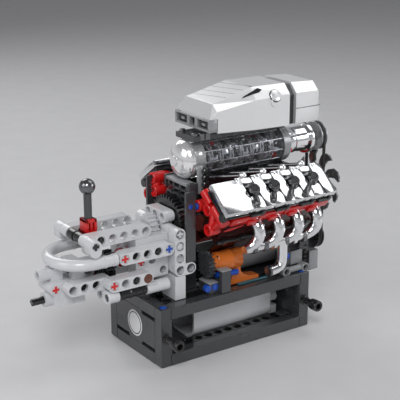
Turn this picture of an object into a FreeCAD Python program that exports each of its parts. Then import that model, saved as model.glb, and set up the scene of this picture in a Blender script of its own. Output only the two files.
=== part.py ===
"""Display model of a supercharged V8 with its gearbox, built on an 8 mm brick grid.

+X runs from the gearbox output to the fan, +Z is up and -Y is the show side.
The origin is the centre of the base's footprint, on the underside.
Places are written in grid units of PITCH; shapes are made in millimetres.
"""
import FreeCAD, Part
import math
import os
from FreeCAD import Vector

os.makedirs("parts", exist_ok=True)

# Grid and fits, mm
PITCH = 8.0            # one grid unit, hole to hole
RELIEF = 0.1           # every face stands this far inside its grid cell
HOLE_R = 2.4           # pin and axle hole
PIN_R = 2.35           # pins, axle tips and journals that run in HOLE_R
PLATE = 3.2            # thin plate
END_STEPS = 8          # flats round the end of a beam

# Base, grid units
BASE_LENGTH = 15
BASE_WIDTH = 8
BASE_HEIGHT = 5
RAIL = 1.0             # rails and posts of the base frames
TROUGH_START = -3.0
TROUGH_LENGTH = 8.0
TROUGH_WIDTH = 3.8
TROUGH_WALL = 1.6      # mm
TROUGH_CORNER = 1.2    # outside radius of its round bottom

# Engine, grid units
CRANK_Z = 6.5
BANK_TILT = math.degrees(math.atan2(3, 4))
FIRST_CYLINDER_X = 1.0
CYLINDER_PITCH = 2.0
CYLINDERS = 4          # in one bank
THROW = 4.0            # mm, crank pin from the crank axis
BLOCK_REAR_X = -2.0
ENGINE_FRONT_X = 8.0
BLOCK_LOW = 4.2        # distances from the crank axis along a bank
BLOCK_HIGH = 6.9
BLOCK_WIDTH = 2.0
CYLINDER_R = 6.2       # mm, bore of a cylinder
PISTON_GAP = 0.1       # mm, piston to bore
TRAY_LOW = 7.75
TRAY_HIGH = 8.4
COVER_HIGH = 8.95
COVER_REAR_X = -3.0
COVER_WIDTH = 3.0
BULKHEAD_X = -3.0      # middle of the rear bulkhead
BULKHEAD_TOP = 12.5    # its top row of holes
SUMP_R = 11.4          # mm, outside of the half-round sump
SUMP_WALL = 1.0        # mm
MOTOR_Y = -2.4
MOTOR_Z = 7.2
MOTOR_R = 6.8          # mm

# Blower and scoop, grid units
BLOWER_Z = 15.6
CASE_R = 12.8          # mm
CASE_WALL = 1.2        # mm
CASE_REAR_X = -1.5
CASE_FRONT_X = 6.4
END_PLATE = 0.8
SNOUT_FRONT_X = 10.0
SNOUT_R = 8.8          # mm
BELT_X = 11.15
PULLEY_R = 10.0        # mm, outside radius of all three pulleys
PULLEY_WIDTH = 5.2     # mm
GROOVE = 1.6           # mm deep
BELT_WIDTH = 2.0       # mm
BELT_THICK = 1.3       # mm
FAN_X = 11.7
FAN_Z = 11.5
FAN_R = 22.0           # mm
FAN_BLADES = 8

# Gears, mm and tooth counts; every gear has a 1 mm module
MODULE = 1.0
GEAR_WIDTH = 6.0
BACKLASH = 0.12
DRIVE_TEETH = 28       # on the crankshaft, behind the bulkhead
FLYWHEEL_TEETH = 36    # on the input shaft above it
RING_TEETH = 24        # on the crankshaft, turned by the starter
PINION_TEETH = 16
CHANGE_TEETH = 16
LAY_TEETH = 12
OUTPUT_TEETH = 20
DRIVE_X = -4.0         # plane of the crank gear and the flywheel gear
RING_X = -2.1          # plane of the starter ring gear
RING_WIDTH = 4.0

# Gearbox, grid units
INPUT_Z = 10.5
LAY_Z = 8.5
OUTPUT_Z = 6.5
CHANGE_X = -6.0        # plane of the first gear pair
FINAL_X = -9.9         # plane of the second gear pair
LEVER_X = -11.5
LEVER_Z = 11.0
FORK_Z = 9.9
SELECTOR_X = -8.5


def at(x, y, z):
    """Point on the grid, in millimetres."""
    return Vector(x * PITCH, y * PITCH, z * PITCH)


def cell(x0, x1, y0, y1, z0, z1):
    """Block that fills grid cells, drawn in by RELIEF on every side."""
    low = at(x0, y0, z0) + Vector(RELIEF, RELIEF, RELIEF)
    size = at(x1 - x0, y1 - y0, z1 - z0) - Vector(2 * RELIEF, 2 * RELIEF, 2 * RELIEF)
    return Part.makeBox(size.x, size.y, size.z, low)


def rod(start, end, radius):
    """Cylinder between two grid points."""
    a = at(*start)
    run = at(*end) - a
    return Part.makeCylinder(radius, run.Length, a, run)


def circle_points(centre, axis, radius, sides, spare=None):
    """Corners of a regular polygon square to axis."""
    axis = Vector(axis).normalize()
    if spare is None:
        spare = Vector(0, 0, 1) if abs(axis.z) < 0.9 else Vector(0, 1, 0)
    side = axis.cross(spare).normalize()
    up = axis.cross(side)
    angles = [2 * math.pi * (i + 0.5) / sides for i in range(sides)]
    return [centre + side * (radius * math.cos(a)) + up * (radius * math.sin(a)) for a in angles]


def skin(rings):
    """Closed solid over rings of points, with flat faces between them."""
    faces = [Part.Face(Part.makePolygon(ring + ring[:1])) for ring in (rings[0], rings[-1])]
    for low, high in zip(rings, rings[1:]):
        count = len(low)
        for i in range(count):
            a, b, c, d = low[i], low[(i + 1) % count], high[(i + 1) % count], high[i]
            if abs((b - a).cross(c - a).dot(d - a)) < 1e-6:
                faces.append(Part.Face(Part.makePolygon([a, b, c, d, a])))
            else:
                faces += [Part.Face(Part.makePolygon([a, b, c, a])), Part.Face(Part.makePolygon([a, c, d, a]))]
    solid = Part.makeSolid(Part.makeShell(faces))
    if solid.Volume < 0:
        solid.reverse()
    return solid


def prism(start, end, radius, sides=10):
    """Many-sided rod between two grid points, inside the given radius."""
    a, b = at(*start), at(*end)
    return skin([circle_points(p, b - a, radius, sides) for p in (a, b)])


def bent_pipe(path, radius, spare, sides=10):
    """Many-sided pipe through points in millimetres; spare is a direction it never follows."""
    rings = []
    for i, point in enumerate(path):
        back = (point - path[i - 1]).normalize() if i else (path[1] - point).normalize()
        ahead = (path[i + 1] - point).normalize() if i + 1 < len(path) else back
        rings.append((point, back + ahead))
    return skin([circle_points(p, axis, radius, sides, spare) for p, axis in rings])


def ball(centre, radius, sides=8, rings=5):
    """Many-sided ball about a grid point."""
    middle = at(*centre)
    angles = [math.pi * (i + 0.35) / (rings - 0.3) for i in range(rings)]
    return skin([circle_points(middle - Vector(0, 0, radius * math.cos(a)), Vector(0, 0, 1),
                               radius * math.sin(a), sides) for a in angles])


def fused(shapes):
    first, *rest = shapes
    return first.fuse(rest).removeSplitter() if rest else first


def open_hole(start, across, depth):
    """Cutter for a pin hole: eight flats that clear a pin."""
    corner_r = HOLE_R / math.cos(math.pi / 8)
    return skin([circle_points(p, across, corner_r, 8) for p in (start, start + across * depth)])


def beam(first, last, bore, thick=1.0, holes=True):
    """Round-ended beam between two hole centres, bored along the vector bore."""
    a, b = at(*first), at(*last)
    run = b - a
    across = Vector(*bore)
    half = PITCH / 2 - RELIEF
    depth = thick * PITCH - 2 * RELIEF
    lift = across * (-depth / 2)
    length = max(run.Length, 1e-6)
    along = run * (1 / length) if run.Length > 0.01 else across.cross(Vector(0.3, 0.5, 0.8)).normalize()
    side = across.cross(along)
    outline = []
    corners = END_STEPS + (1 if run.Length > 0.01 else 0)
    for centre, ahead in ((b, along), (a, along * -1)):
        for i in range(corners):
            angle = math.pi * i / END_STEPS
            outline.append(centre + (side * math.cos(angle) * (1 if centre is b else -1)
                                     + ahead * math.sin(angle)) * half + lift)
    body = skin([outline, [p + across * depth for p in outline]])
    if not holes:
        return body
    count = int(round(run.Length / PITCH)) + 1
    drills = [open_hole(a + along * (PITCH * i) + lift - across, across, depth + 2) for i in range(count)]
    return body.cut(drills)


def drill(shape, *ends):
    """Cut pin holes whose axes run between pairs of grid points."""
    cutters = []
    for a, b in ends:
        run = at(*b) - at(*a)
        cutters.append(open_hole(at(*a), run * (1 / run.Length), run.Length))
    return shape.cut(cutters)


def axle(start, end, radius=PIN_R, arm=1.8):
    """Cross-shaped axle between two grid points."""
    a = at(*start)
    run = at(*end) - a
    t = arm / 2
    h = math.sqrt(radius ** 2 - t ** 2)
    outline = [(h, -t), (h, t), (t, t), (t, h), (-t, h), (-t, t),
               (-h, t), (-h, -t), (-t, -t), (-t, -h), (t, -h), (t, -t)]
    points = [Vector(x, y, 0) for x, y in outline]
    bar = Part.Face(Part.makePolygon(points + points[:1])).extrude(Vector(0, 0, run.Length))
    bar.Placement = FreeCAD.Placement(a, FreeCAD.Rotation(Vector(0, 0, 1), run))
    return bar


def involute(radius, base):
    slope = math.acos(min(1.0, base / radius))
    return math.tan(slope) - slope


def gear(teeth, x, y, z, width, turn=0.0, bore=0.0):
    """Spur gear about an axis along X; turn is in tooth pitches."""
    pitch_r = teeth * MODULE / 2
    base = pitch_r * math.cos(math.radians(20))
    root = max(pitch_r - 1.2 * MODULE, 0.1)
    tip = pitch_r + 0.95 * MODULE
    half = math.pi / (2 * teeth) - BACKLASH / pitch_r
    flat = max(root, base)
    wide = half + involute(pitch_r, base) - involute(flat, base)
    narrow = max(half + involute(pitch_r, base) - involute(tip, base), 0.12 / pitch_r)
    points = []
    for tooth in range(teeth):
        mid = 2 * math.pi * (tooth + turn) / teeth
        for r, a in ((root, -wide), (tip, -narrow), (tip, narrow), (root, wide)):
            points.append(Vector(0, r * math.sin(mid + a), r * math.cos(mid + a)))
    disc = Part.Face(Part.makePolygon(points + points[:1])).extrude(Vector(width, 0, 0))
    disc.translate(at(x, y, z) - Vector(width / 2, 0, 0))
    if bore:
        disc = disc.cut(rod((x - 1, y, z), (x + 1, y, z), bore))
    return disc


def mesh_turn(teeth, turn, other_teeth, dy, dz):
    """Turn of a gear at (dy, dz) from another so that its teeth meet the gaps."""
    direction = math.atan2(dy, dz)
    contact = direction * teeth / (2 * math.pi) - turn
    offset = contact - round(contact)
    return (direction + math.pi) * other_teeth / (2 * math.pi) + offset + 0.5


def near_bank(shape):
    """Tilt a shape drawn about the crank axis onto the near bank."""
    placed = shape.copy()
    placed.rotate(Vector(0, 0, 0), Vector(1, 0, 0), BANK_TILT)
    placed.translate(at(0, 0, CRANK_Z))
    return placed


def mirrored(shape):
    return shape.mirror(Vector(0, 0, 0), Vector(0, 1, 0))


def both_sides(shapes):
    return list(shapes) + [mirrored(s) for s in shapes]


def both_banks(shapes):
    return both_sides([near_bank(s) for s in shapes])


def save(name, shapes):
    """Write one node; several shapes stay separate solids."""
    if not isinstance(shapes, (list, tuple)):
        shapes = [shapes]
    solids = [solid for shape in shapes for solid in shape.Solids]
    node = solids[0] if len(solids) == 1 else Part.makeCompound(solids)
    node.exportStep(f"parts/{name}.step")


half_length = BASE_LENGTH / 2
half_width = BASE_WIDTH / 2
post_x = half_length - RAIL / 2
post_y = half_width - RAIL / 2
deck = BASE_HEIGHT
inner_x = half_length - RAIL
beam_y = half_width - 1.5 * RAIL
middle_z = BASE_HEIGHT / 2
cylinder_x = [FIRST_CYLINDER_X + CYLINDER_PITCH * i for i in range(CYLINDERS)]

# Base: two open side frames, end panels, beams along both rails and two plates
frame = cell(-half_length, half_length, -half_width, -half_width + RAIL, 0, BASE_HEIGHT)
frame = frame.cut(Part.makeBox((BASE_LENGTH - 2 * RAIL) * PITCH, 3 * PITCH,
                               (BASE_HEIGHT - 2 * RAIL) * PITCH,
                               at(-inner_x, -half_width - 1, RAIL)))
for side in (-1, 1):
    frame = drill(frame,
                  ((side * post_x, -post_y, deck - RAIL), (side * post_x, -post_y, deck + 1)),
                  ((side * post_x, -half_width - 1, middle_z), (side * post_x, 0, middle_z)))
save("base_side_frames", both_sides([frame]))

panel = cell(-half_length, -inner_x, -half_width + RAIL, half_width - RAIL, RAIL, deck - RAIL)
for y0, z0 in ((-3, 3.7), (1, 1), (-3, 1)):
    panel = panel.cut(Part.makeBox(0.6 * PITCH, 2 * PITCH, 0.3 * PITCH, at(-half_length - 0.1, y0, z0)))
strips = [cell(-half_length, -inner_x, -half_width + RAIL, half_width - RAIL, z, z + RAIL)
          for z in (0, deck - RAIL)]
turned = FreeCAD.Placement(Vector(0, 0, 0), FreeCAD.Rotation(Vector(0, 0, 1), 180))


def front_copy(shape):
    copy = shape.copy()
    copy.Placement = turned
    return copy


end_parts = [panel] + strips
save("end_panels", end_parts + [front_copy(s) for s in end_parts])

reach = inner_x - 0.5
long_bars = [beam((-reach, -beam_y, z), (reach, -beam_y, z), (0, 0, 1), holes=z > RAIL)
             for z in (0.5, deck - 0.5)]
short_bar = beam((-reach, -1.5, deck - 0.5), (-reach, 1.5, deck - 0.5), (0, 0, 1))
save("base_beams", both_sides(long_bars) + [short_bar])
plate = PLATE / PITCH
save("floor_plate", cell(-inner_x, inner_x, -2, 2, -RELIEF / PITCH, plate))
deck_plate = cell(-inner_x + 1, inner_x, -2, 2, deck - plate, deck)
for x, width in ((DRIVE_X, GEAR_WIDTH), (RING_X, RING_WIDTH)):
    slot = Part.makeBox(width + 2, 2 * 1.9 * PITCH, 3 * PLATE,
                        at(x, -1.9, deck - 1) - Vector(width / 2 + 1, 0, 0))
    deck_plate = deck_plate.cut(slot)
save("deck_plate", deck_plate)


def trough_section(inset):
    """U-shaped outline with round lower corners, drawn in by inset mm."""
    half = TROUGH_WIDTH * PITCH / 2 - inset
    low = plate * PITCH + RELIEF + inset
    top = (deck - plate) * PITCH - 2 * RELIEF + (5 if inset else 0)
    r = TROUGH_CORNER * PITCH - inset
    k = r * (1 - math.sqrt(0.5))
    x = TROUGH_START * PITCH - (1 if inset else 0)
    v = lambda y, z: Vector(x, y, z)
    edges = [Part.LineSegment(v(-half, top), v(-half, low + r)).toShape(),
             Part.Arc(v(-half, low + r), v(-half + k, low + k), v(-half + r, low)).toShape(),
             Part.LineSegment(v(-half + r, low), v(half - r, low)).toShape(),
             Part.Arc(v(half - r, low), v(half - k, low + k), v(half, low + r)).toShape(),
             Part.LineSegment(v(half, low + r), v(half, top)).toShape(),
             Part.LineSegment(v(half, top), v(-half, top)).toShape()]
    return Part.Face(Part.Wire(edges)).extrude(Vector(TROUGH_LENGTH * PITCH + (2 if inset else 0), 0, 0))


save("drum_trough", trough_section(0).cut(trough_section(TROUGH_WALL)))

pulls = []
for side in (-1, 1):
    x = side * post_x
    stem = prism((x, -half_width + RAIL, middle_z), (x, -half_width - 1.2, middle_z), PIN_R)
    head = prism((x, -half_width - 1.1, middle_z), (x, -half_width - 2, middle_z), 3.6, 16)
    head = head.cut(prism((x, -half_width - 1.5, middle_z), (x, -half_width - 3, middle_z), 1.6, 8))
    collar = prism((x, -half_width - 0.05, middle_z), (x, -half_width - 0.2, middle_z), 3.4, 16)
    pulls.append(fused([stem, collar, head]))
save("pull_pins", pulls)

# Rear bulkhead: a stack of three-hole beams with round tops, bored for the shafts
b0, b1 = BULKHEAD_X - 0.5, BULKHEAD_X + 0.5
bulkhead = [cell(b0, b1, -1.5, 1.5, deck, BULKHEAD_TOP)]
bulkhead += [beam((BULKHEAD_X, y, BULKHEAD_TOP), (BULKHEAD_X, y, BULKHEAD_TOP), (1, 0, 0), holes=False)
             for y in (-1, 0, 1)]
bulkhead = fused(bulkhead)
holes = [(y, BULKHEAD_TOP) for y in (-1, 0, 1)] + [(0, INPUT_Z), (0, CRANK_Z)]
guard = cell(DRIVE_X - 0.45, DRIVE_X + 0.45, -3, -2.75, 8, 13.8)
save("rear_bulkhead", [drill(bulkhead, *[((b0 - 1, y, z), (b1 + 1, y, z)) for y, z in holes])]
     + both_sides([guard]))

# Front frame: carries the crank nose and the fan shaft ahead of the base
f0, f1 = ENGINE_FRONT_X, ENGINE_FRONT_X + 1
front = cell(f0, f1, -2, 2, deck + 0.3, FAN_Z + 1)
front = front.cut(Part.makeBox(2 * PITCH, 2 * PITCH, 2.4 * PITCH, at(f0 - 0.5, -1, CRANK_Z + 1.3)))
save("front_frame", drill(front, *[((f0 - 1, 0, z), (f1 + 1, 0, z)) for z in (CRANK_Z, FAN_Z)]))

# Sump: half-round clear shell under the crank
sump_x0 = -1.6
sump_len = (ENGINE_FRONT_X - sump_x0) * PITCH - RELIEF


def sump_shape(radius, rise):
    x = sump_x0 * PITCH
    z = CRANK_Z * PITCH
    v = lambda y, h: Vector(x, y, z + h)
    edges = [Part.LineSegment(v(radius, rise), v(radius, 0)).toShape(),
             Part.Arc(v(radius, 0), v(0, -radius), v(-radius, 0)).toShape(),
             Part.LineSegment(v(-radius, 0), v(-radius, rise)).toShape(),
             Part.LineSegment(v(-radius, rise), v(radius, rise)).toShape()]
    return Part.Face(Part.Wire(edges)).extrude(Vector(sump_len, 0, 0))


sump = sump_shape(SUMP_R, PITCH).cut(sump_shape(SUMP_R - SUMP_WALL, PITCH + 5))
save("sump_cover", sump)

# Crankcase sides: slanted smoked panels from the sump to the cylinder blocks
low = Vector(0, -SUMP_R, (CRANK_Z + 1) * PITCH + 0.2)
high = near_bank(Part.Vertex(0, -BLOCK_WIDTH / 2 * PITCH, BLOCK_LOW * PITCH - 0.3)).Point
slope = (high - low).normalize()
outward = Vector(1, 0, 0).cross(slope) * SUMP_WALL
outward = outward if outward.z > 0 else outward * -1
corner = [low, high, high + outward, low + outward]
side_panel = Part.Face(Part.makePolygon(corner + corner[:1])).extrude(Vector(sump_len, 0, 0))
side_panel.translate(Vector(sump_x0 * PITCH, 0, 0))
save("crankcase_sides", both_sides([side_panel]))

# Starter motor on its foot, and the pinion that turns the crank's ring gear
mx0, mx1 = -1.6, 1.7
m = lambda x: (x, MOTOR_Y, MOTOR_Z)
leg_x = 0.5
motor = fused([prism(m(mx0 + 0.5), m(mx1), MOTOR_R, 24), prism(m(mx0), m(mx0 + 0.6), 0.8 * MOTOR_R, 20),
               prism(m(0.1), m(0.35), MOTOR_R + 0.3, 24),
               Part.makeBox(3.0, 5.0, (MOTOR_Z - deck) * PITCH - 0.6 * MOTOR_R,
                            at(leg_x, MOTOR_Y, deck) + Vector(-1.5, -2.5, RELIEF)),
               Part.makeBox(26.0, 7.0, 1.6, at(leg_x - 0.2, MOTOR_Y, deck) + Vector(0, -3.5, RELIEF))])
motor = drill(motor, (m(mx0 - 0.5), m(mx0 + 1.2)))
save("starter_motor", motor)
pinion_turn = mesh_turn(RING_TEETH, 0.5, PINION_TEETH, MOTOR_Y, MOTOR_Z - CRANK_Z)
pinion = gear(PINION_TEETH, RING_X, MOTOR_Y, MOTOR_Z, RING_WIDTH, pinion_turn)
save("starter_pinion", fused([pinion, prism(m(RING_X), m(mx0 + 1), PIN_R)]))

# Crankshaft with four throws, its gears and its pulley
directions = [1, -1, -1, 1][:CYLINDERS]
journal = [prism((DRIVE_X - 0.5, 0, CRANK_Z), (cylinder_x[0] - 0.45, 0, CRANK_Z), PIN_R)]
for a, b in zip(cylinder_x, cylinder_x[1:]):
    journal.append(prism((a + 0.45, 0, CRANK_Z), (b - 0.45, 0, CRANK_Z), PIN_R))
journal.append(prism((cylinder_x[-1] + 0.45, 0, CRANK_Z), (BELT_X + 0.4, 0, CRANK_Z), PIN_R))
web = 0.24 * PITCH
throws = []
for x, way in zip(cylinder_x, directions):
    mid = at(x, 0, CRANK_Z)
    for end in (-1, 1):
        start = mid + Vector(end * 0.35 * PITCH - web / 2, -2.6, -2.6 if way > 0 else 2.6 - 9.2)
        throws.append(Part.makeBox(web, 5.2, 9.2, start))
    pin_z = CRANK_Z + way * THROW / PITCH
    throws.append(prism((x - 0.35, 0, pin_z), (x + 0.35, 0, pin_z), 2.0))
save("crankshaft", fused(journal + throws))


def pulley(z):
    """Grooved wheel on an axle hole, its groove in the belt's plane."""
    x = BELT_X * PITCH
    floor_r = PULLEY_R - GROOVE
    half, lip = PULLEY_WIDTH / 2, BELT_WIDTH / 2 + 0.2
    profile = [(HOLE_R, -half), (PULLEY_R, -half), (PULLEY_R, -lip - 0.5), (floor_r, -lip),
               (floor_r, lip), (PULLEY_R, lip + 0.5), (PULLEY_R, half), (HOLE_R, half)]
    rings = [circle_points(Vector(x + h, 0, z * PITCH), Vector(1, 0, 0), r, 24) for r, h in profile[1:-1]]
    return drill(skin(rings), ((BELT_X - 1, 0, z), (BELT_X + 1, 0, z)))


save("crank_wheels", [gear(DRIVE_TEETH, DRIVE_X, 0, CRANK_Z, GEAR_WIDTH, 0.5, HOLE_R),
                      gear(RING_TEETH, RING_X, 0, CRANK_Z, RING_WIDTH, 0.5, HOLE_R),
                      pulley(CRANK_Z)])

# Pistons: the outer pair and the inner pair of each bank move together
block_mid = THROW * math.cos(math.radians(BANK_TILT))
crown = 6.0 * PITCH
piston_r = CYLINDER_R - PISTON_GAP


def piston(x, way):
    lift = way * block_mid
    head = prism((x, 0, 0), (x, 0, 0.9), piston_r, 16)
    head.translate(Vector(0, 0, crown - 0.9 * PITCH + lift))
    bar = Part.makeBox(2.4, 3.2, crown - 0.9 * PITCH - 1.55 * PITCH,
                       Vector(x * PITCH - 1.2, -1.6, 1.55 * PITCH + lift))
    return near_bank(fused([head, bar]))


outer = [piston(x, 1) for x, way in zip(cylinder_x, directions) if way > 0]
inner = [piston(x, -1) for x, way in zip(cylinder_x, directions) if way < 0]
save("pistons_near_outer", outer)
save("pistons_near_inner", inner)
save("pistons_far_outer", [mirrored(s) for s in outer])
save("pistons_far_inner", [mirrored(s) for s in inner])

# Cylinder blocks, red bank frames, trays and chromed covers
half_block = BLOCK_WIDTH / 2
block = cell(BLOCK_REAR_X, ENGINE_FRONT_X, -half_block, half_block, BLOCK_LOW, BLOCK_HIGH)
bore_corner_r = CYLINDER_R / math.cos(math.pi / 24)
block = block.cut([prism((x, 0, BLOCK_LOW - 0.5), (x, 0, BLOCK_HIGH + 0.5), bore_corner_r, 24) for x in cylinder_x])
save("cylinder_blocks", both_banks([block]))

rear_x = BLOCK_REAR_X - 0.5
long_beams = [cell(BLOCK_REAR_X, ENGINE_FRONT_X, w - 0.45, w + 0.45, BLOCK_HIGH, TRAY_LOW) for w in (-1, 1)]
clip = [beam((rear_x, 1.7, 5.9), (rear_x, 1.7, 6.9), (1, 0, 0)),
        beam((rear_x, 0.6, 6.9), (rear_x, -0.3, 5.5), (1, 0, 0), holes=False),
        prism((rear_x, 2.1, 7.28), (rear_x, -1.2, 7.28), 3.3, 16)]
clip = fused(clip)
clip = drill(clip, ((rear_x - 1, -0.3, 5.5), (rear_x + 1, -0.3, 5.5)),
             ((rear_x - 1, 0.6, 6.7), (rear_x + 1, 0.6, 6.7)),
             ((rear_x - 1, 1.7, 5.9), (rear_x + 1, 1.7, 5.9)))
save("bank_frames_red", both_banks(long_beams + [clip]))

tray = cell(COVER_REAR_X + 0.1, ENGINE_FRONT_X - 0.1, -COVER_WIDTH / 2 + 0.1, COVER_WIDTH / 2 - 0.1,
            TRAY_LOW, TRAY_HIGH)
save("cover_trays", both_banks([tray]))
plug_x = [x - 0.55 for x in cylinder_x]
cover = cell(COVER_REAR_X, ENGINE_FRONT_X, -COVER_WIDTH / 2, COVER_WIDTH / 2, TRAY_HIGH, COVER_HIGH)
pockets = [Part.makeBox(1.15 * PITCH, 1.3 * PITCH, PITCH, at(x - 0.6, -0.5, TRAY_HIGH - 0.2)) for x in plug_x]
cover = near_bank(cover.cut(pockets))
save("valve_covers", both_sides([cover]))

plugs = []
for i, x in enumerate(plug_x):
    ball_at = (x, 0.19, COVER_HIGH + 0.02)
    foot = (x - 0.6 - 0.5 * i, -1.45, COVER_HIGH + 0.17)
    stem = prism((x, 0.19, TRAY_HIGH), ball_at, 1.4, 6)
    stem.translate(Vector(0, 0, RELIEF))
    lead = prism((x, 0.19, COVER_HIGH + 0.17), foot, 1.2, 8)
    plugs.append(near_bank(fused([ball(ball_at, 0.42 * PITCH), stem, lead])))
save("spark_plugs", both_sides(plugs))

links = []
for x in plug_x:
    seat = near_bank(Part.Vertex(at(x + 0.1, 1.95, 8.6))).Point
    end = Vector(seat.x - 1.4 * PITCH, -1.62 * PITCH, 14.9 * PITCH)
    run = end - seat
    stalk = skin([circle_points(p, run, 1.2, 8) for p in (seat, end)])
    links.append(fused([ball(seat * (1 / PITCH), 2.7), stalk]))
save("valley_links", both_sides(links))

# Intake manifold between the banks, which carries the blower
case_low = BLOWER_Z - CASE_R / PITCH
ix0, ix1 = -1.5, 7.2
left = [(1.75, 10.9), (2.85, 12.5), (2.85, 12.9), (1.3, 13.1), (1.3, case_low)]
outline = [(y, z) for y, z in left] + [(-y, z) for y, z in reversed(left)]
points = [at(ix0, y, z) for y, z in outline]
manifold = Part.Face(Part.makePolygon(points + points[:1])).extrude(Vector((ix1 - ix0) * PITCH, 0, 0))
seat = prism((ix0 - 1, 0, BLOWER_Z), (ix1 + 1, 0, BLOWER_Z), CASE_R + 2 * RELIEF, 32)
save("intake_manifold", manifold.cut(seat))

# Exhaust headers: four bent pipes into a collector and a down pipe
PIPE_R = 3.7
PIPE_BEND = 8.0        # mm, centre-line radius
SWEEP = [(0.1, 9.9), (0.45, 9.3), (1.1, 9.0)]  # how far each pipe leans back on its way down, and where
port_u = 6.2
port = near_bank(Part.Vertex(at(0, -half_block, port_u))).Point + Vector(0, 0, 0)
out = Vector(0, -math.cos(math.radians(BANK_TILT)), -math.sin(math.radians(BANK_TILT)))
port = port + out * RELIEF
turn = math.radians(90 - BANK_TILT)
collector_z = 8.9


def header_pipe(x):
    start = Vector(x * PITCH, port.y, port.z)
    run = 0.35 * PITCH
    bend_start = start + out * run
    normal = Vector(0, out.z, -out.y)
    if normal.z > 0:
        normal = normal * -1
    centre = bend_start + normal * PIPE_BEND
    drop_y = centre.y - PIPE_BEND
    path = [start]
    for i in range(4):
        angle = turn * i / 3
        path.append(centre - (normal * math.cos(angle) - out * math.sin(angle)) * PIPE_BEND)
    for back, z in SWEEP:
        path.append(Vector(start.x - back * PITCH, drop_y, z * PITCH))
    return bent_pipe(path, PIPE_R, Vector(1, 0, 0)), drop_y


pipes = []
for x in [c + 0.5 for c in cylinder_x]:
    pipe, drop_y = header_pipe(x)
    pipes.append(pipe)
cx0, cx1 = cylinder_x[0] - 0.8, cylinder_x[-1] - 0.2
pipes.append(prism((cx0, drop_y / PITCH, collector_z), (cx1, drop_y / PITCH, collector_z), PIPE_R + 0.3, 16))
down_x = 3.5
down_low = 6.6
down_pipe = [(down_x, collector_z), (down_x, down_low + 0.4), (down_x - 0.13, down_low + 0.12),
             (down_x - 0.4, down_low), (down_x - 1.5, down_low)]
pipes.append(bent_pipe([at(x, drop_y / PITCH, z) for x, z in down_pipe], PIPE_R - 0.2, Vector(0, 1, 0)))
header = fused(pipes)
mouth = prism((down_x - 1.6, drop_y / PITCH, down_low), (down_x - 0.9, drop_y / PITCH, down_low), PIPE_R - 1.2)
save("exhaust_headers", both_sides([header.cut(mouth)]))

# Blower: saddle, dome, ribbed clear case, snout, rotor and belt drive
bz = BLOWER_Z
saddle = [cell(b0, CASE_REAR_X, -1.5, 1.5, BULKHEAD_TOP + 0.5, bz - 1.2)]
saddle += [cell(b0, CASE_REAR_X, s * 1.55 - 0.35, s * 1.55 + 0.35, BULKHEAD_TOP + 1.1, bz - 0.4) for s in (-1, 1)]
saddle = fused(saddle).cut(rod((b0 - 1, 0, bz), (CASE_REAR_X + 1, 0, bz), CASE_R + 3 * RELIEF))
save("blower_saddle", saddle)
rim_x = -2.6
ring_len = (CASE_REAR_X - rim_x) * PITCH
v = lambda x, r: Vector(x, 0, bz * PITCH + r)
dome_depth = 1.0 * PITCH
rx = rim_x * PITCH
cx = CASE_REAR_X * PITCH - RELIEF
hub_r = 2.6
apex = rx - dome_depth
hub_angle = math.asin(hub_r / CASE_R)
steps = [hub_angle + (math.pi / 2 - hub_angle) * i / 6 for i in range(7)]
profile = [(apex - 2.0, hub_r)] + [(rx - dome_depth * math.cos(a), CASE_R * math.sin(a)) for a in steps]
profile.append((cx, CASE_R))
dome = skin([circle_points(v(x, 0), Vector(1, 0, 0), r, 32) for x, r in profile])
dome = drill(dome, ((CASE_REAR_X - 1, 0, bz), (CASE_REAR_X + 1, 0, bz)))
save("blower_dome", dome)
case_inside = prism((CASE_REAR_X - 1, 0, bz), (CASE_FRONT_X + 1, 0, bz), CASE_R - CASE_WALL, 36)
save("blower_case", prism((CASE_REAR_X, 0, bz), (CASE_FRONT_X, 0, bz), CASE_R, 36).cut(case_inside))
plate_x = CASE_FRONT_X + RELIEF / PITCH
end_plate = [prism((plate_x, 0, bz), (CASE_FRONT_X + END_PLATE, 0, bz), CASE_R, 36),
             prism((CASE_FRONT_X + END_PLATE - 0.1, 0, bz), (SNOUT_FRONT_X, 0, bz), SNOUT_R, 30)]
snout = fused(end_plate)
snout = drill(snout, ((CASE_FRONT_X - 1, 0, bz), (SNOUT_FRONT_X + 1, 0, bz)))
save("blower_snout", snout)
rotor_r = CASE_R - CASE_WALL - 1.0
shaft = [prism((CASE_REAR_X - 0.6, 0, bz), (BELT_X + 0.4, 0, bz), PIN_R)]
for i in range(7):
    x = CASE_REAR_X + 1.0 + i * 1.0
    shaft.append(prism((x - 0.2, 0, bz), (x + 0.2, 0, bz), rotor_r, 20))
save("blower_rotor", [fused(shaft), pulley(bz)])


def belt_loop(thick):
    r = PULLEY_R - GROOVE + 0.05 + thick
    low_z, high_z = CRANK_Z * PITCH, bz * PITCH
    x = BELT_X * PITCH - BELT_WIDTH / 2
    outline = []
    for z, start in ((high_z, 0), (low_z, 180)):
        for i in range(17):
            angle = math.radians(start + 180 * i / 16)
            outline.append(Vector(x, r * math.cos(angle), z + r * math.sin(angle)))
    return skin([outline, [p + Vector(BELT_WIDTH, 0, 0) for p in outline]])


save("drive_belt", belt_loop(BELT_THICK).cut(belt_loop(0)))

# Fan: its shaft, belt wheel and crescent blades
fan_pulley = pulley(FAN_Z)
fan_shaft = prism((ENGINE_FRONT_X - 0.3, 0, FAN_Z), (FAN_X + 0.3, 0, FAN_Z), PIN_R)
hub = prism((FAN_X - 0.2, 0, FAN_Z), (FAN_X + 0.2, 0, FAN_Z), 5.0, 16)


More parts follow.
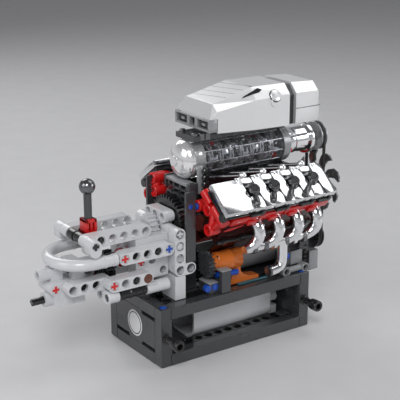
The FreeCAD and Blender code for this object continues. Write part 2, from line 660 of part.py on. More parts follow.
def blade(i):
    turn_deg = 360 / FAN_BLADES * i + 45 / 2
    r = lambda radius, deg: Vector(0, radius * math.cos(math.radians(deg)), radius * math.sin(math.radians(deg)))
    lead = [r(4.6, -14), r(0.35 * FAN_R, -20), r(0.62 * FAN_R, -22), r(0.84 * FAN_R, -15), r(FAN_R * 0.97, -4)]
    trail = [r(FAN_R, 6), r(FAN_R * 0.94, 15), r(0.8 * FAN_R, 7), r(0.6 * FAN_R, 4), r(0.35 * FAN_R, 7), r(4.6, 14)]
    outline = lead + trail
    face = skin([outline, [p + Vector(1.6, 0, 0) for p in outline]])
    face.rotate(Vector(0, 0, 0), Vector(1, 0, 0), turn_deg)
    face.translate(at(FAN_X, 0, FAN_Z) - Vector(0.8, 0, 0))
    return face


save("fan", [fused([fan_shaft, hub] + [blade(i) for i in range(FAN_BLADES)]), fan_pulley])

# Scoop: plate, nose with its mouths, hood, black slot core and tail
case_top = bz + CASE_R / PITCH
plate_top = case_top + 0.45
save("scoop_plate", [cell(-2.6, 6.6, -1.3, 1.3, case_top, plate_top)])
SCOOP_BACK = 8.8
SCOOP_HALF = 2.45
SHELL = 1.4            # mm


def scoop_section(x, low_z, shoulder, top_z, half, top_half, inset=0.0):
    i = inset / PITCH
    pts = [(half - i, low_z - (1 if inset else 0)), (half - i, shoulder - i * 0.6),
           (top_half - i * 1.5, top_z - i), (-top_half + i * 1.5, top_z - i),
           (-half + i, shoulder - i * 0.6), (-half + i, low_z - (1 if inset else 0))]
    return [at(x, y, z) for y, z in pts]


def scoop_body(stations, inset=0.0):
    return skin([scoop_section(*s, inset=inset) for s in stations])


low_front = plate_top + 0.35
low_back = plate_top + 0.02
main = [(-1.8, low_front, 19.05, 19.06, SCOOP_HALF, SCOOP_HALF - 0.05),
        (-1.15, low_front - 0.02, 19.7, 20.25, SCOOP_HALF, 1.85),
        (2.6, low_back + 0.1, 20.2, 21.15, SCOOP_HALF + 0.05, 1.75),
        (6.1, low_back, 20.3, 21.1, SCOOP_HALF + 0.05, 1.75)]
hood = scoop_body(main)
cavity = scoop_body([(-1.9, *main[0][1:]), *main[1:3], (5.9, *main[3][1:])], inset=SHELL)
hood = hood.cut(cavity)
nose_x = -1.8
hood = hood.cut(cell(nose_x - 0.2, nose_x + 0.75, -SCOOP_HALF - 0.1, SCOOP_HALF + 0.1, 17, 19.15))
nose = Part.makeBox(0.7 * PITCH, 2 * SCOOP_HALF * PITCH, 1.0 * PITCH, at(nose_x, -SCOOP_HALF, 18.1))
for y0, y1 in ((-2.15, -0.65), (-0.3, 0.3), (0.65, 2.15)):
    nose = nose.cut(Part.makeBox(PITCH, (y1 - y0) * PITCH, 0.62 * PITCH, at(nose_x - 0.1, y0, 18.29)))
save("scoop_nose", nose)
core_x0, core_x1 = 6.1, 6.75
core = scoop_body([(core_x0 + 0.015, low_back, 20.1, 20.9, SCOOP_HALF - 0.25, 1.6),
                   (core_x1 - 0.015, low_back, 20.1, 20.9, SCOOP_HALF - 0.25, 1.6)])
save("scoop_core", core)
tail = scoop_body([(core_x1, low_back, 20.3, 21.08, SCOOP_HALF + 0.05, 1.75),
                   (7.9, low_back, 20.25, 20.95, SCOOP_HALF + 0.03, 1.75),
                   (SCOOP_BACK, low_back + 0.5, 20.0, 20.5, SCOOP_HALF - 0.35, 1.5)])
save("scoop_tail", tail)
button = prism((4.6, -SCOOP_HALF - 0.07, 19.9), (4.6, -SCOOP_HALF - 0.2, 19.9), 4.0, 20)
save("scoop_hood", [hood] + both_sides([button]))

# Gearbox frame
near_l = fused([beam((-5, -2.5, 7.5), (-5, -2.5, 10.5), (0, 1, 0), holes=False),
                beam((-5, -2.5, 7.5), (-4, -2.5, 7.5), (0, 1, 0), holes=False)])
near_l = drill(near_l, *[((-5, -4, z), (-5, -1, z)) for z in (7.5, 8.5, 9.5, 10.5)])
near_l = near_l.cut(rod((-4, -4, 7.5), (-4, -1, 7.5), HOLE_R))
inner_l = beam((-5, -1.5, 7.5), (-5, -1.5, 10.5), (0, 1, 0))
save("gearbox_l_beams", both_sides([near_l, inner_l]))
walls = []
for x, z0, z1, bores in ((-5, 6, 11, (INPUT_Z, LAY_Z)), (-7, 6, 11, (INPUT_Z, LAY_Z)),
                         (-13, 6, 9.3, (LAY_Z, OUTPUT_Z))):
    wall = drill(cell(x - 0.5, x + 0.5, -1, 1, z0, z1), *[((x - 1, 0, z), (x + 1, 0, z)) for z in bores])
    if x == -7:
        wall = wall.cut(prism((x - 1, 0, FORK_Z), (x + 1, 0, FORK_Z), 1.8, 8))
    walls.append(wall)
side_plate = drill(cell(-8.5, -5.5, -2, -1, 7, 10.5),
                   *[((x, -3, z), (x, 0, z)) for x, z in ((-8, 8.5), (-7, 8.5), (-6, 7.5), (-6, 9.5))])
gear_room = CHANGE_TEETH * MODULE / 2 + MODULE + 0.6
side_plate = side_plate.cut([rod((CHANGE_X - 0.47, 0, z), (CHANGE_X + 0.47, 0, z), gear_room)
                             for z in (INPUT_Z, LAY_Z)])
save("gearbox_walls", walls + both_sides([side_plate]))
save("gearbox_beams", both_sides([beam((-10, -2.5, 9.5), (-6, -2.5, 9.5), (0, 1, 0)),
                                  beam((-11, -2.5, 7.5), (-8, -2.5, 7.5), (0, 1, 0)),
                                  beam((-14, -1.5, 7.5), (-11, -1.5, 7.5), (0, 1, 0)),
                                  beam((-12.5, -1.5, 11), (-7.5, -1.5, 11), (0, 1, 0))]))
save("gearbox_pedestals", both_sides([cell(-5.5, -4.5, -3, -1, deck, 7)]))
save("gearbox_cross_blocks", [beam((-5, -1, 11.5), (-5, 1, 11.5), (1, 0, 0))]
     + both_sides([beam((-11, -2.5, 6.5), (-11, -1.5, 6.5), (1, 0, 0))]))
elbow = drill(fused([beam((-12.5, -2.5, 11), (-12.5, -2.5, 10.6), (0, 1, 0), holes=False)]),
              ((-12.5, -4, 11), (-12.5, -1, 11)))
tube_r = PITCH / 2 - RELIEF
bend_r = 2.5 * PITCH
bend_x = -12.3
u_path = [at(-10.55, -2.5, 9.5)]
for i in range(13):
    angle = math.pi * i / 12
    u_path.append(at(bend_x, 0, 9.5) + Vector(-bend_r * math.sin(angle), -bend_r * math.cos(angle), 0))
u_path.append(at(-10.55, 2.5, 9.5))
save("gearbox_u_tube", bent_pipe(u_path, tube_r, Vector(0, 0, 1), 16))
tail_box = [cell(-15, -13.5, -1, 1, 6, 8),
            prism((-15.6, 0, OUTPUT_Z), (-14.5, 0, OUTPUT_Z), 4.6, 20),
            beam((-15, 0, 7.5), (-15, 0, 7.5), (0, 1, 0), 2.0, holes=False),
            cell(-15.1, -14.1, -0.5, 0.5, 7.8, 9.0),
            prism((-16, 0, 8.5), (-14.6, 0, 8.5), 3.8, 16)]
tail_box = fused(tail_box)
tail_box = drill(tail_box, ((-17, 0, OUTPUT_Z), (-13, 0, OUTPUT_Z)), ((-17, 0, 8.5), (-15.2, 0, 8.5)),
                 ((-15, -2, 7.5), (-15, -0.3, 7.5)))
save("gearbox_tail", tail_box)
joiner = [prism((-10.48, -2.5, 6.5), (-8.05, -2.5, 6.5), 3.3, 12)]
joiner += [prism((x - 0.1, -2.5, 6.5), (x + 0.1, -2.5, 6.5), 3.8, 12) for x in (-10.2, -9.55, -8.95, -8.3)]
joiner = drill(fused(joiner), ((-12, -2.5, 6.5), (-7, -2.5, 6.5)))
joiners = both_sides([joiner])
sleeve = fused([prism((-8, -2.5, 6.5), (-5.95, -2.5, 6.5), tube_r, 16),
                cell(-7.9, -7.1, -3, -2, 6.9, 7).fuse(cell(-7.9, -7.1, -2.9, -2.1, 6.5, 7))])
sleeve = drill(sleeve, ((-9, -2.5, 6.5), (-5, -2.5, 6.5)))
save("gearbox_connectors", both_sides([elbow, sleeve]))

# Gearbox shafts
save("flywheel_gear", gear(FLYWHEEL_TEETH, DRIVE_X, 0, INPUT_Z, GEAR_WIDTH, 0.0, HOLE_R))
save("input_shaft", fused([axle((-7.45, 0, INPUT_Z), (-2.6, 0, INPUT_Z)),
                           gear(CHANGE_TEETH, CHANGE_X, 0, INPUT_Z, GEAR_WIDTH)]))
save("lay_shaft", fused([axle((-13.45, 0, LAY_Z), (-4.6, 0, LAY_Z)),
                         gear(CHANGE_TEETH, CHANGE_X, 0, LAY_Z, GEAR_WIDTH, 0.5),
                         gear(LAY_TEETH, FINAL_X, 0, LAY_Z, GEAR_WIDTH)]))
save("output_shaft", fused([axle((-16.6, 0, OUTPUT_Z), (-9.3, 0, OUTPUT_Z)),
                            gear(OUTPUT_TEETH, FINAL_X, 0, OUTPUT_Z, GEAR_WIDTH, 0.5)]))

# Shift lever, fork and selector ring
ring_profile = [(HOLE_R, -3), (6, -3), (6, -1), (4.2, -1), (4.2, 1), (6, 1), (6, 3), (HOLE_R, 3)]
selector = skin([circle_points(at(SELECTOR_X, 0, LAY_Z) + Vector(h, 0, 0), Vector(1, 0, 0), r, 20)
                 for r, h in ring_profile[1:-1]])
save("selector_ring", drill(selector, ((SELECTOR_X - 1, 0, LAY_Z), (SELECTOR_X + 1, 0, LAY_Z))))
yoke_ends = (SELECTOR_X - 0.1, 0, LAY_Z), (SELECTOR_X + 0.1, 0, LAY_Z)
yoke = prism(*yoke_ends, 7.5, 16).cut(prism(*yoke_ends, 4.8, 16))
yoke = yoke.common(Part.makeBox(20, 40, 20, at(SELECTOR_X - 1, -2.5, LAY_Z)))
stem = Part.makeBox(1.6, 4, (FORK_Z - LAY_Z) * PITCH - 6.5, at(SELECTOR_X, 0, LAY_Z) + Vector(-0.8, -2, 6.5))
fork_rod = prism((LEVER_X, 0, FORK_Z), (-7.0, 0, FORK_Z), 1.5)
pad = Part.makeBox(7.6, 6, 5.4, at(LEVER_X, 0, FORK_Z) + Vector(-3.8, -3, -3.2))
slot = Part.makeBox(3.4, 10, 10, at(LEVER_X, 0, FORK_Z) + Vector(-1.7, -5, -1.9))
pad = pad.cut(slot)
fork_rod = fork_rod.cut(slot)
save("shift_fork", fused([yoke, stem, fork_rod, pad]))
block = Part.makeBox(PITCH - 0.2, 1.1 * PITCH, 1.8 * PITCH, at(LEVER_X - 0.5, -0.55, 10.35) + Vector(0.1, 0, 0))
block = drill(block, ((LEVER_X, -2, LEVER_Z), (LEVER_X, 2, LEVER_Z)))
block = block.cut(Part.makeBox(3.4, 40, 5.0, at(LEVER_X, -2, 11.65) + Vector(-1.7, 0, 0)))
lever = fused([prism((LEVER_X, 0, 12.46), (LEVER_X, 0, 14.4), 2.6, 16), ball((LEVER_X, 0, 14.83), 5.1, 20, 10)])
save("shift_lever", lever)
finger = prism((LEVER_X, 0, 10.5), (LEVER_X, 0, FORK_Z), 1.1, 8)
save("lever_block", fused([block, finger, ball((LEVER_X, 0, FORK_Z), 1.5)]))
cross_hole = (-12.5, -2, 11), (-12.5, 2, 11)
roller = [drill(prism((-12.5, y0, 11), (-12.5, y1, 11), 3.4, 16), cross_hole) for y0, y1 in ((-0.98, -0.5), (0.5, 0.98))]
save("roller", drill(prism((-12.5, -0.45, 11), (-12.5, 0.45, 11), 3.1, 16), cross_hole))

# Pins and axles, one node for each colour
save("black_axles", [axle((-12.5, -2.95, 11), (-12.5, 2.95, 11)),
                     axle((LEVER_X, -1.95, LEVER_Z), (LEVER_X, 1.95, LEVER_Z))]
     + both_sides([axle((-11.45, -2.5, 6.5), (-6.0, -2.5, 6.5))]) + roller + joiners)
save("gearbox_pins", both_sides([axle((-10, -2.98, 9.5), (-10, -2.1, 9.5)),
                              axle((-11, -2.98, 7.5), (-11, -1.1, 7.5)),
                              axle((-8, -1.98, 8.5), (-8, -1.1, 8.5))])
     + [axle((-15, -0.98, 7.5), (-15, -0.4, 7.5))]
     + both_sides([prism((-8, -2.98, 7.5), (-8, -2.1, 7.5), PIN_R)]))
blue = [prism((side * post_x, -post_y, deck - 0.9), (side * post_x, -post_y, deck + 0.02), PIN_R) for side in (-1, 1)]
blue.append(axle((-6, -2.98, 9.5), (-6, -1.1, 9.5)))
blue.append(near_bank(prism((rear_x - 0.47, 1.7, 5.9), (rear_x + 0.47, 1.7, 5.9), PIN_R)))
save("blue_pins", both_sides(blue))


# Deck brackets beside the engine's feet
rear_bracket = [cell(-2.6, -0.7, -3.5, -2.0, deck, 5.9), cell(-1.6, -0.7, -3.9, -3.5, deck, 6.9)]
front_bracket = [fused([cell(5.2, ENGINE_FRONT_X, -3.1, -2.1, 5.5, 6.8),
                        Part.makeBox(12.0, 6.0, 5.0, at(5.8, -3, deck) + Vector(0, 0, RELIEF))]),
                 cell(ENGINE_FRONT_X, ENGINE_FRONT_X + 1, -3.3, -2.1, 4.7, 6.5)]
save("deck_brackets", both_sides(rear_bracket + front_bracket))
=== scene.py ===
import bmesh
import bpy
import math
from mathutils import Matrix, Vector


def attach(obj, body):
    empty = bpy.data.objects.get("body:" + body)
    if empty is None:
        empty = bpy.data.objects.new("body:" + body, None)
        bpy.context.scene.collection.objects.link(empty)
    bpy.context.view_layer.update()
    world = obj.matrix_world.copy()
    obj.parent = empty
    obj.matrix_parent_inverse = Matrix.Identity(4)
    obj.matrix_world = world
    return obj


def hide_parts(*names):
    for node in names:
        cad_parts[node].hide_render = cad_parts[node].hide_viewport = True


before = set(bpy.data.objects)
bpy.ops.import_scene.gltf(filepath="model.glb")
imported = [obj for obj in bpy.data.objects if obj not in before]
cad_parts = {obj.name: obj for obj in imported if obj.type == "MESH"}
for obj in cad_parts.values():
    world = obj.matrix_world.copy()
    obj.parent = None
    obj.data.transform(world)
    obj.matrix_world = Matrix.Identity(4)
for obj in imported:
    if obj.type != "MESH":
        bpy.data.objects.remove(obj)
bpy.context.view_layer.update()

# Stage: a pale table top, a pale room round it and five soft lamps.
# The table is a sheet of matt laminate; the model stands on it without fixing.
scene = bpy.context.scene
scene.view_settings.view_transform = "Standard"
TABLE_SIZE = 6
TABLE_TOP = -0.0001


def new_material(name):
    """A node material, with its tree and its main shader."""
    material = bpy.data.materials.new(name)
    material.use_nodes = True
    return material, material.node_tree, material.node_tree.nodes["Principled BSDF"]


laminate, tree, shader = new_material("table_laminate")
speckle = tree.nodes.new("ShaderNodeTexNoise")
speckle.inputs["Scale"].default_value = 260
tint = tree.nodes.new("ShaderNodeValToRGB")
tint.color_ramp.elements[0].color = (0.60, 0.60, 0.61, 1)
tint.color_ramp.elements[1].color = (0.66, 0.66, 0.67, 1)
tree.links.new(speckle.outputs["Fac"], tint.inputs["Fac"])
tree.links.new(tint.outputs["Color"], shader.inputs["Base Color"])
shader.inputs["Roughness"].default_value = 0.55
bpy.ops.mesh.primitive_plane_add(size=TABLE_SIZE, location=(0, 0, TABLE_TOP))
table = bpy.context.object
table.name = "table_top"
table.data.materials.append(laminate)

room = bpy.data.worlds.new("studio_room")
scene.world = room
room.use_nodes = True
sky = room.node_tree
way = sky.nodes.new("ShaderNodeTexCoord")
split = sky.nodes.new("ShaderNodeSeparateXYZ")
fade = sky.nodes.new("ShaderNodeValToRGB")
fade.color_ramp.elements[0].position = 0.0
fade.color_ramp.elements[0].color = (0.60, 0.60, 0.62, 1)
fade.color_ramp.elements[1].position = 0.5
fade.color_ramp.elements[1].color = (0.16, 0.16, 0.17, 1)
sky.links.new(way.outputs["Generated"], split.inputs["Vector"])
sky.links.new(split.outputs["Z"], fade.inputs["Fac"])
sky.links.new(fade.outputs["Color"], sky.nodes["Background"].inputs["Color"])
sky.nodes["Background"].inputs["Strength"].default_value = 0.9

MODEL_MIDDLE = Vector((0, 0, 0.09))
for name, place, size, power in (("key_lamp", (-0.55, -0.75, 0.85), 0.45, 6.0),
                                 ("rear_lamp", (-0.95, -0.05, 0.62), 0.5, 2.6),
                                 ("top_lamp", (0.62, -0.10, 1.02), 0.75, 2.8),
                                 ("fill_lamp", (0.85, -0.65, 0.40), 0.4, 2.5),
                                 ("back_lamp", (0.05, 0.85, 0.75), 0.6, 3.2)):
    lamp = bpy.data.lights.new(name, "AREA")
    lamp.size = size
    lamp.energy = power
    holder = bpy.data.objects.new(name, lamp)
    holder.location = place
    holder.rotation_euler = (MODEL_MIDDLE - Vector(place)).to_track_quat("-Z", "Y").to_euler()
    scene.collection.objects.link(holder)

VIEW_TURN = math.radians(-34.48)
VIEW_LIFT = math.radians(17.74)
camera = bpy.data.objects.new("main_camera", bpy.data.cameras.new("main_camera"))
camera.data.lens = 97.45
camera.data.sensor_width = 36
back = Vector((math.sin(VIEW_TURN) * math.cos(VIEW_LIFT), -math.cos(VIEW_TURN) * math.cos(VIEW_LIFT),
               math.sin(VIEW_LIFT)))
camera.location = (-0.39192, -0.55808, 0.31152)
camera.rotation_euler = (-back).to_track_quat("-Z", "Y").to_euler()
scene.collection.objects.link(camera)
scene.camera = camera

# Base: two moulded side frames, end panels, plates and drilled beams, in satin grey and
# black. All are injection moulded and held by friction pins; edges are slightly rounded.
GRID = 0.008
MM = 0.001
UP = Vector((0, 0, 1))
PIN_HOLE = 2.5
HOLE_RIM = 3.05
RIM_DEPTH = 0.85
SIDES = (-1, 1)


def moulding_marks():
    """Group: faint flow marks and fine grain of a moulded surface."""
    group = bpy.data.node_groups.new("moulding_marks", "ShaderNodeTree")
    for socket, kind, value in (("Colour", "NodeSocketColor", (0.5, 0.5, 0.5, 1)),
                                ("Rough", "NodeSocketFloat", 0.3), ("Grain", "NodeSocketFloat", 900.0),
                                ("Cloud", "NodeSocketFloat", 40.0), ("Change", "NodeSocketFloat", 0.12)):
        item = group.interface.new_socket(socket, in_out="INPUT", socket_type=kind)
        item.default_value = value
    for socket, kind in (("Colour", "NodeSocketColor"), ("Roughness", "NodeSocketFloat"),
                         ("Height", "NodeSocketFloat")):
        group.interface.new_socket(socket, in_out="OUTPUT", socket_type=kind)
    new, link = group.nodes.new, group.links.new
    into, out = new("NodeGroupInput"), new("NodeGroupOutput")
    place = new("ShaderNodeTexCoord")
    fine, cloud = new("ShaderNodeTexNoise"), new("ShaderNodeTexNoise")
    fine.inputs["Detail"].default_value = 3
    cloud.inputs["Detail"].default_value = 4
    link(place.outputs["Object"], fine.inputs["Vector"])
    link(place.outputs["Object"], cloud.inputs["Vector"])
    link(into.outputs["Grain"], fine.inputs["Scale"])
    link(into.outputs["Cloud"], cloud.inputs["Scale"])
    centred = new("ShaderNodeMath")
    centred.operation = "SUBTRACT"
    centred.inputs[1].default_value = 0.5
    link(cloud.outputs["Fac"], centred.inputs[0])
    amount = new("ShaderNodeMath")
    amount.operation = "MULTIPLY_ADD"
    amount.inputs[2].default_value = 1.0
    link(centred.outputs[0], amount.inputs[0])
    link(into.outputs["Change"], amount.inputs[1])
    shade = new("ShaderNodeVectorMath")
    shade.operation = "SCALE"
    link(into.outputs["Colour"], shade.inputs[0])
    link(amount.outputs[0], shade.inputs["Scale"])
    dull = new("ShaderNodeMath")
    dull.operation = "MULTIPLY_ADD"
    dull.inputs[1].default_value = 0.25
    link(centred.outputs[0], dull.inputs[0])
    link(into.outputs["Rough"], dull.inputs[2])
    link(shade.outputs[0], out.inputs["Colour"])
    link(dull.outputs[0], out.inputs["Roughness"])
    link(fine.outputs["Fac"], out.inputs["Height"])
    return group


marks = moulding_marks()


def moulded(name, colour, rough=0.28, bump=0.04, metallic=0.0, cloud=40.0, change=0.12, clear=0.0, coat=0.0):
    """Moulded plastic with its marks, plated or clear if asked."""
    material, tree, shader = new_material(name)
    use = tree.nodes.new("ShaderNodeGroup")
    use.node_tree = marks
    use.inputs["Colour"].default_value = (*colour, 1)
    use.inputs["Rough"].default_value = rough
    use.inputs["Cloud"].default_value = cloud
    use.inputs["Change"].default_value = change
    lumps = tree.nodes.new("ShaderNodeBump")
    lumps.inputs["Strength"].default_value = bump
    lumps.inputs["Distance"].default_value = 0.0003
    tree.links.new(use.outputs["Colour"], shader.inputs["Base Color"])
    tree.links.new(use.outputs["Roughness"], shader.inputs["Roughness"])
    tree.links.new(use.outputs["Height"], lumps.inputs["Height"])
    tree.links.new(lumps.outputs["Normal"], shader.inputs["Normal"])
    shader.inputs["Metallic"].default_value = metallic
    shader.inputs["Transmission Weight"].default_value = clear
    shader.inputs["Coat Weight"].default_value = coat
    material.diffuse_color = (*colour, 1)
    return material


def dress(node, material, edge=0.22):
    """Finishes a CAD node: its material and softly rounded edges, in millimetres."""
    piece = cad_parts[node]
    piece.data.materials.clear()
    piece.data.materials.append(material)
    if edge:
        weld = piece.modifiers.new("joined_corners", "WELD")
        weld.merge_threshold = 0.000002
        round_off = piece.modifiers.new("soft_edges", "BEVEL")
        round_off.width = edge * MM
        round_off.segments = 2
        round_off.limit_method = "ANGLE"
        round_off.angle_limit = math.radians(40)
        round_off.harden_normals = True


def grid(x, y, z):
    """A place in brick-grid units, as metres."""
    return Vector((x * GRID, y * GRID, z * GRID))


def facing(spot, way):
    """A place with its origin at the spot and its local +X turned the way given."""
    return Matrix.Translation(spot) @ way.to_track_quat("X", "Z").to_matrix().to_4x4()


def skinned(mesh, outlines, place=Matrix.Identity(4), paint=0):
    """Adds a closed skin over a row of outlines that have as many points each."""
    shape = bmesh.new()
    rings = [[shape.verts.new(point) for point in outline] for outline in outlines]
    for a, b in zip(rings, rings[1:]):
        for i in range(len(a)):
            shape.faces.new((a[i], a[i - 1], b[i - 1], b[i]))
    shape.faces.new(rings[0])
    shape.faces.new(rings[-1][::-1])
    bmesh.ops.remove_doubles(shape, verts=shape.verts[:], dist=1e-6)
    bmesh.ops.recalc_face_normals(shape, faces=shape.faces[:])
    merge(mesh, shape, place, paint)


def merge(mesh, shape, place, paint):
    """Adds a finished form to a piece's mesh, in its place and paint."""
    for face in shape.faces:
        face.material_index = paint
    shape.transform(place)
    copy = bpy.data.meshes.new("copy")
    shape.to_mesh(copy)
    shape.free()
    mesh.from_mesh(copy)
    bpy.data.meshes.remove(copy)


def circle(sides):
    """The cosine and sine of each corner of a round outline."""
    return [(math.cos(2 * math.pi * i / sides), math.sin(2 * math.pi * i / sides)) for i in range(sides)]


def turned(mesh, profile, place, sides=32, paint=0):
    """Body of revolution round local X; the profile is (along, radius) in millimetres."""
    skinned(mesh, [[(along * MM, radius * MM * c, radius * MM * s) for c, s in circle(sides)]
                   for along, radius in profile], place, paint)


def bored(node, places, along, depth=7.9):
    """Round pin holes with shallow rims, cut into a CAD node by a modifier; depth in millimetres."""
    mesh = bmesh.new()
    near, far = RIM_DEPTH, depth - RIM_DEPTH
    profile = [(0, 0), (0, HOLE_RIM), (near, HOLE_RIM), (near, PIN_HOLE), (far, PIN_HOLE), (far, HOLE_RIM),
               (depth, HOLE_RIM), (depth, 0)]
    for spot in places:
        turned(mesh, profile, facing(spot - along * depth * MM / 2, along), 20)
    data = bpy.data.meshes.new(node + "_bores")
    mesh.to_mesh(data)
    mesh.free()
    cutter = bpy.data.objects.new(node + "_bores", data)
    scene.collection.objects.link(cutter)
    cutter.hide_render = True
    cutter.hide_viewport = True
    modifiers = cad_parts[node].modifiers
    cut = modifiers.new("pin_holes", "BOOLEAN")
    cut.operation = "DIFFERENCE"
    cut.object = cutter
    cut.solver = "EXACT"
    modifiers.move(len(modifiers) - 1, 1)


satin_grey = moulded("satin_dark_grey", (0.043, 0.045, 0.05), 0.26, 0.05, coat=0.5)
black = moulded("gloss_black", (0.012, 0.012, 0.013), 0.2, coat=0.4)
BEAM_Y = 2.5
for node in ("base_side_frames", "end_panels"):
    dress(node, satin_grey, 0.45)
dress("base_beams", black, 0.15)
bored("base_beams", [grid(x, side * BEAM_Y, z) for x in range(-6, 7) for side in SIDES for z in (0.5, 4.5)],
      UP)
for node in ("floor_plate", "deck_plate"):
    dress(node, satin_grey)

# Trough: a long half-open drum of milky white plastic that lies on the floor plate.
# It is bent from one sheet; a white stub with a round hub closes its front end.
FORWARD = Vector((1, 0, 0))
SHARP_ANGLE = math.radians(38)


def block(mesh, x, y, z, edge=0.3, paint=0, place=Matrix.Identity(4)):
    """Box from pairs of grid places, its edges rounded by edge in millimetres."""
    low, high = grid(x[0], y[0], z[0]), grid(x[1], y[1], z[1])
    shape = bmesh.new()
    bmesh.ops.create_cube(shape, size=1.0)
    shape.transform(Matrix.Translation((low + high) / 2) @ Matrix.Diagonal((*(high - low), 1)))
    if edge:
        bmesh.ops.bevel(shape, geom=shape.edges[:], offset=edge * MM, segments=2, affect="EDGES", profile=0.5)
    merge(mesh, shape, place, paint)


def around(middle, half):
    """The pair of places that lie half to each side of a middle."""
    return middle - half, middle + half


def finish(name, mesh, paints, body, stands_for=()):
    """Makes the piece, with its paints, its body and the nodes it stands for."""
    data = bpy.data.meshes.new(name)
    mesh.to_mesh(data)
    mesh.free()
    for paint in paints:
        data.materials.append(paint)
    data.shade_smooth()
    data.set_sharp_from_angle(angle=SHARP_ANGLE)
    piece = bpy.data.objects.new(name, data)
    scene.collection.objects.link(piece)
    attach(piece, body)
    if stands_for:
        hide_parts(*stands_for)


milky = moulded("milky_white", (0.66, 0.67, 0.69), 0.34, 0.03, cloud=18, change=0.2)
dress("drum_trough", milky)
stub = bmesh.new()
block(stub, (5.15, 6.2), (-1.2, 1.2), (0.55, 1.3))
turned(stub, [(0, 0), (0, 3.6), (0.4, 4.0), (7, 4.0), (7.4, 3.6), (7.4, 0)],
       facing(grid(5.1, -1.0, 2.2), FORWARD))
block(stub, (5.2, 6.4), (-3.0, -2.1), (1.02, 1.1), paint=1)
finish("trough_end_stub", stub, [milky, satin_grey], "frame")

# Pull pins: black pins with a collar and a bored head, two through the show side.
# They are pushed into the side frame's posts.
OUTWARD = Vector((0, -1, 0))
POST_X = 7
pins = bmesh.new()
for side in SIDES:
    profile = [(0, 0), (0, 2.3), (0, 3.3), (0.9, 3.4), (1.3, 2.4), (5.6, 2.3), (7.6, 2.35), (8.0, 3.6),
               (9.4, 3.85), (14.2, 3.85), (14.8, 3.5), (14.8, 2.1), (10.0, 1.9), (10.0, 0)]
    turned(pins, profile, facing(grid(side * POST_X, -4.05, 2.5), OUTWARD), 28)
finish("pull_pin_heads", pins, [black], "frame", ("pull_pins",))

# Frame seams: dark joint lines where the side frames' posts meet their rails.
# The real frames are beams laid end to end, so a fine gap shows.
# Near-black for fine seams between parts, and painted shade where bores, pockets, mouths and gaps lie unlit.
seam_and_shade_black = moulded("seams_and_painted_shade", (0.004, 0.004, 0.004), 0.9, 0.0)
RAILS = ((0.08, 0.98), (4.02, 4.92))
seams = bmesh.new()
for side in SIDES:
    for x in (-6.56, 6.56):
        for rail in RAILS:
            block(seams, around(x, 0.03), around(side * 3.985, 0.008), rail, 0)
finish("frame_seams", seams, [seam_and_shade_black], "frame")

# Badge: a plain white disc let into the rear end panel, with a grey ring round its rim.
# It is printed paper under clear film and is glued on.
paper = moulded("white_paper", (0.78, 0.78, 0.78), 0.6, 0.02)
badge_at = facing(grid(-7.49, 0, 2.55), -FORWARD)
badge = bmesh.new()
turned(badge, [(0, 0), (0, 8.6), (0.18, 8.9), (0.3, 8.6), (0.3, 0)], badge_at, 48)
turned(badge, [(0.25, 6.9), (0.36, 7.0), (0.36, 7.7), (0.25, 7.8)], badge_at, 48, 1)
finish("rear_badge", badge, [paper, satin_grey], "frame")

# Rear bulkhead and front frame: stacks of dark grey beams that carry the shafts, with
# a black manifold between the banks. They are held by pins through the base's deck.
INWARD = -OUTWARD
blue = moulded("gloss_blue", (0.01, 0.07, 0.42), 0.22)
for node in ("rear_bulkhead", "front_frame", "deck_brackets"):
    dress(node, satin_grey, 0.3)
dress("intake_manifold", black)
stack = bmesh.new()
turned(stack, [(-0.1, 0), (-0.1, 1.3), (0.1, 1.6), (1, 1.6), (1, 0)],
       facing(grid(-4, -3.0, 12.6), INWARD), 20)
for side in SIDES:
    for z in (10.0, 11.5, 13.0):
        block(stack, (-3.42, -2.58), around(side * 1.5, 0.06), (z, z + 0.05), 0, 1)
finish("bulkhead_pins", stack, [blue, seam_and_shade_black], "frame")

# Blower saddle: dark grey beams across the bulkhead, uprights with a black pin column
# and light plates. The blower's rear end hangs between the uprights.
light_plate = moulded("light_plate", (0.26, 0.27, 0.28), 0.3, coat=0.3)
UPRIGHT_Y = 1.72
saddle = bmesh.new()
block(saddle, (-3.45, -2.6), (-1.5, 1.5), (13.75, 14.0), paint=1)
block(saddle, (-3.3, -2.6), (-1.5, 1.5), (13.15, 13.35))
for y in (-1.3, -0.35, 0.6, 1.3):
    block(saddle, (-3.3, -2.9), around(y, 0.13), (13.02, 13.8))
for side in SIDES:
    block(saddle, (-3.4, -2.55), around(side * UPRIGHT_Y, 0.14), (13.1, 14.05))
    block(saddle, (-2.5, -1.55), around(side * UPRIGHT_Y, 0.14), (13.1, 15.1), paint=1)
    for z in (13.3, 13.85, 14.4, 14.95):
        turned(saddle, [(0, 0), (0, 1.4), (0.3, 2.4), (2.6, 2.5), (3, 2.1), (3, 0)],
               facing(grid(-1.98, side * 1.9, z), side * INWARD), 20, 2)
block(saddle, (-2.5, -1.55), (-1.5, 1.5), (13.02, 13.6), paint=2)
finish("saddle_frame", saddle, [satin_grey, light_plate, black], "frame", ("blower_saddle",))

# Deck fittings: blue pins under grey tiles at the rear, and a pair of panels with a
# joiner and a black pin column at the front. All stand on the deck's studs.
joiner_grey = moulded("joiner_grey", (0.22, 0.23, 0.24), 0.25, coat=0.3)
JOINER_Z = 5.3


def piped(mesh, path, radius, sides=20, paint=0):
    """Round pipe through points, its rings kept from twisting; radius in millimetres or a list."""
    outlines = []
    side = None
    for i, point in enumerate(path):
        run = (path[min(i + 1, len(path) - 1)] - path[max(i - 1, 0)]).normalized()
        side = run.orthogonal().normalized() if side is None else (side - run * side.dot(run)).normalized()
        up = run.cross(side)
        reach = MM * (radius[i] if isinstance(radius, list) else radius)
        outlines.append([point + reach * (side * c + up * s) for c, s in circle(sides)])
    skinned(mesh, outlines, paint=paint)


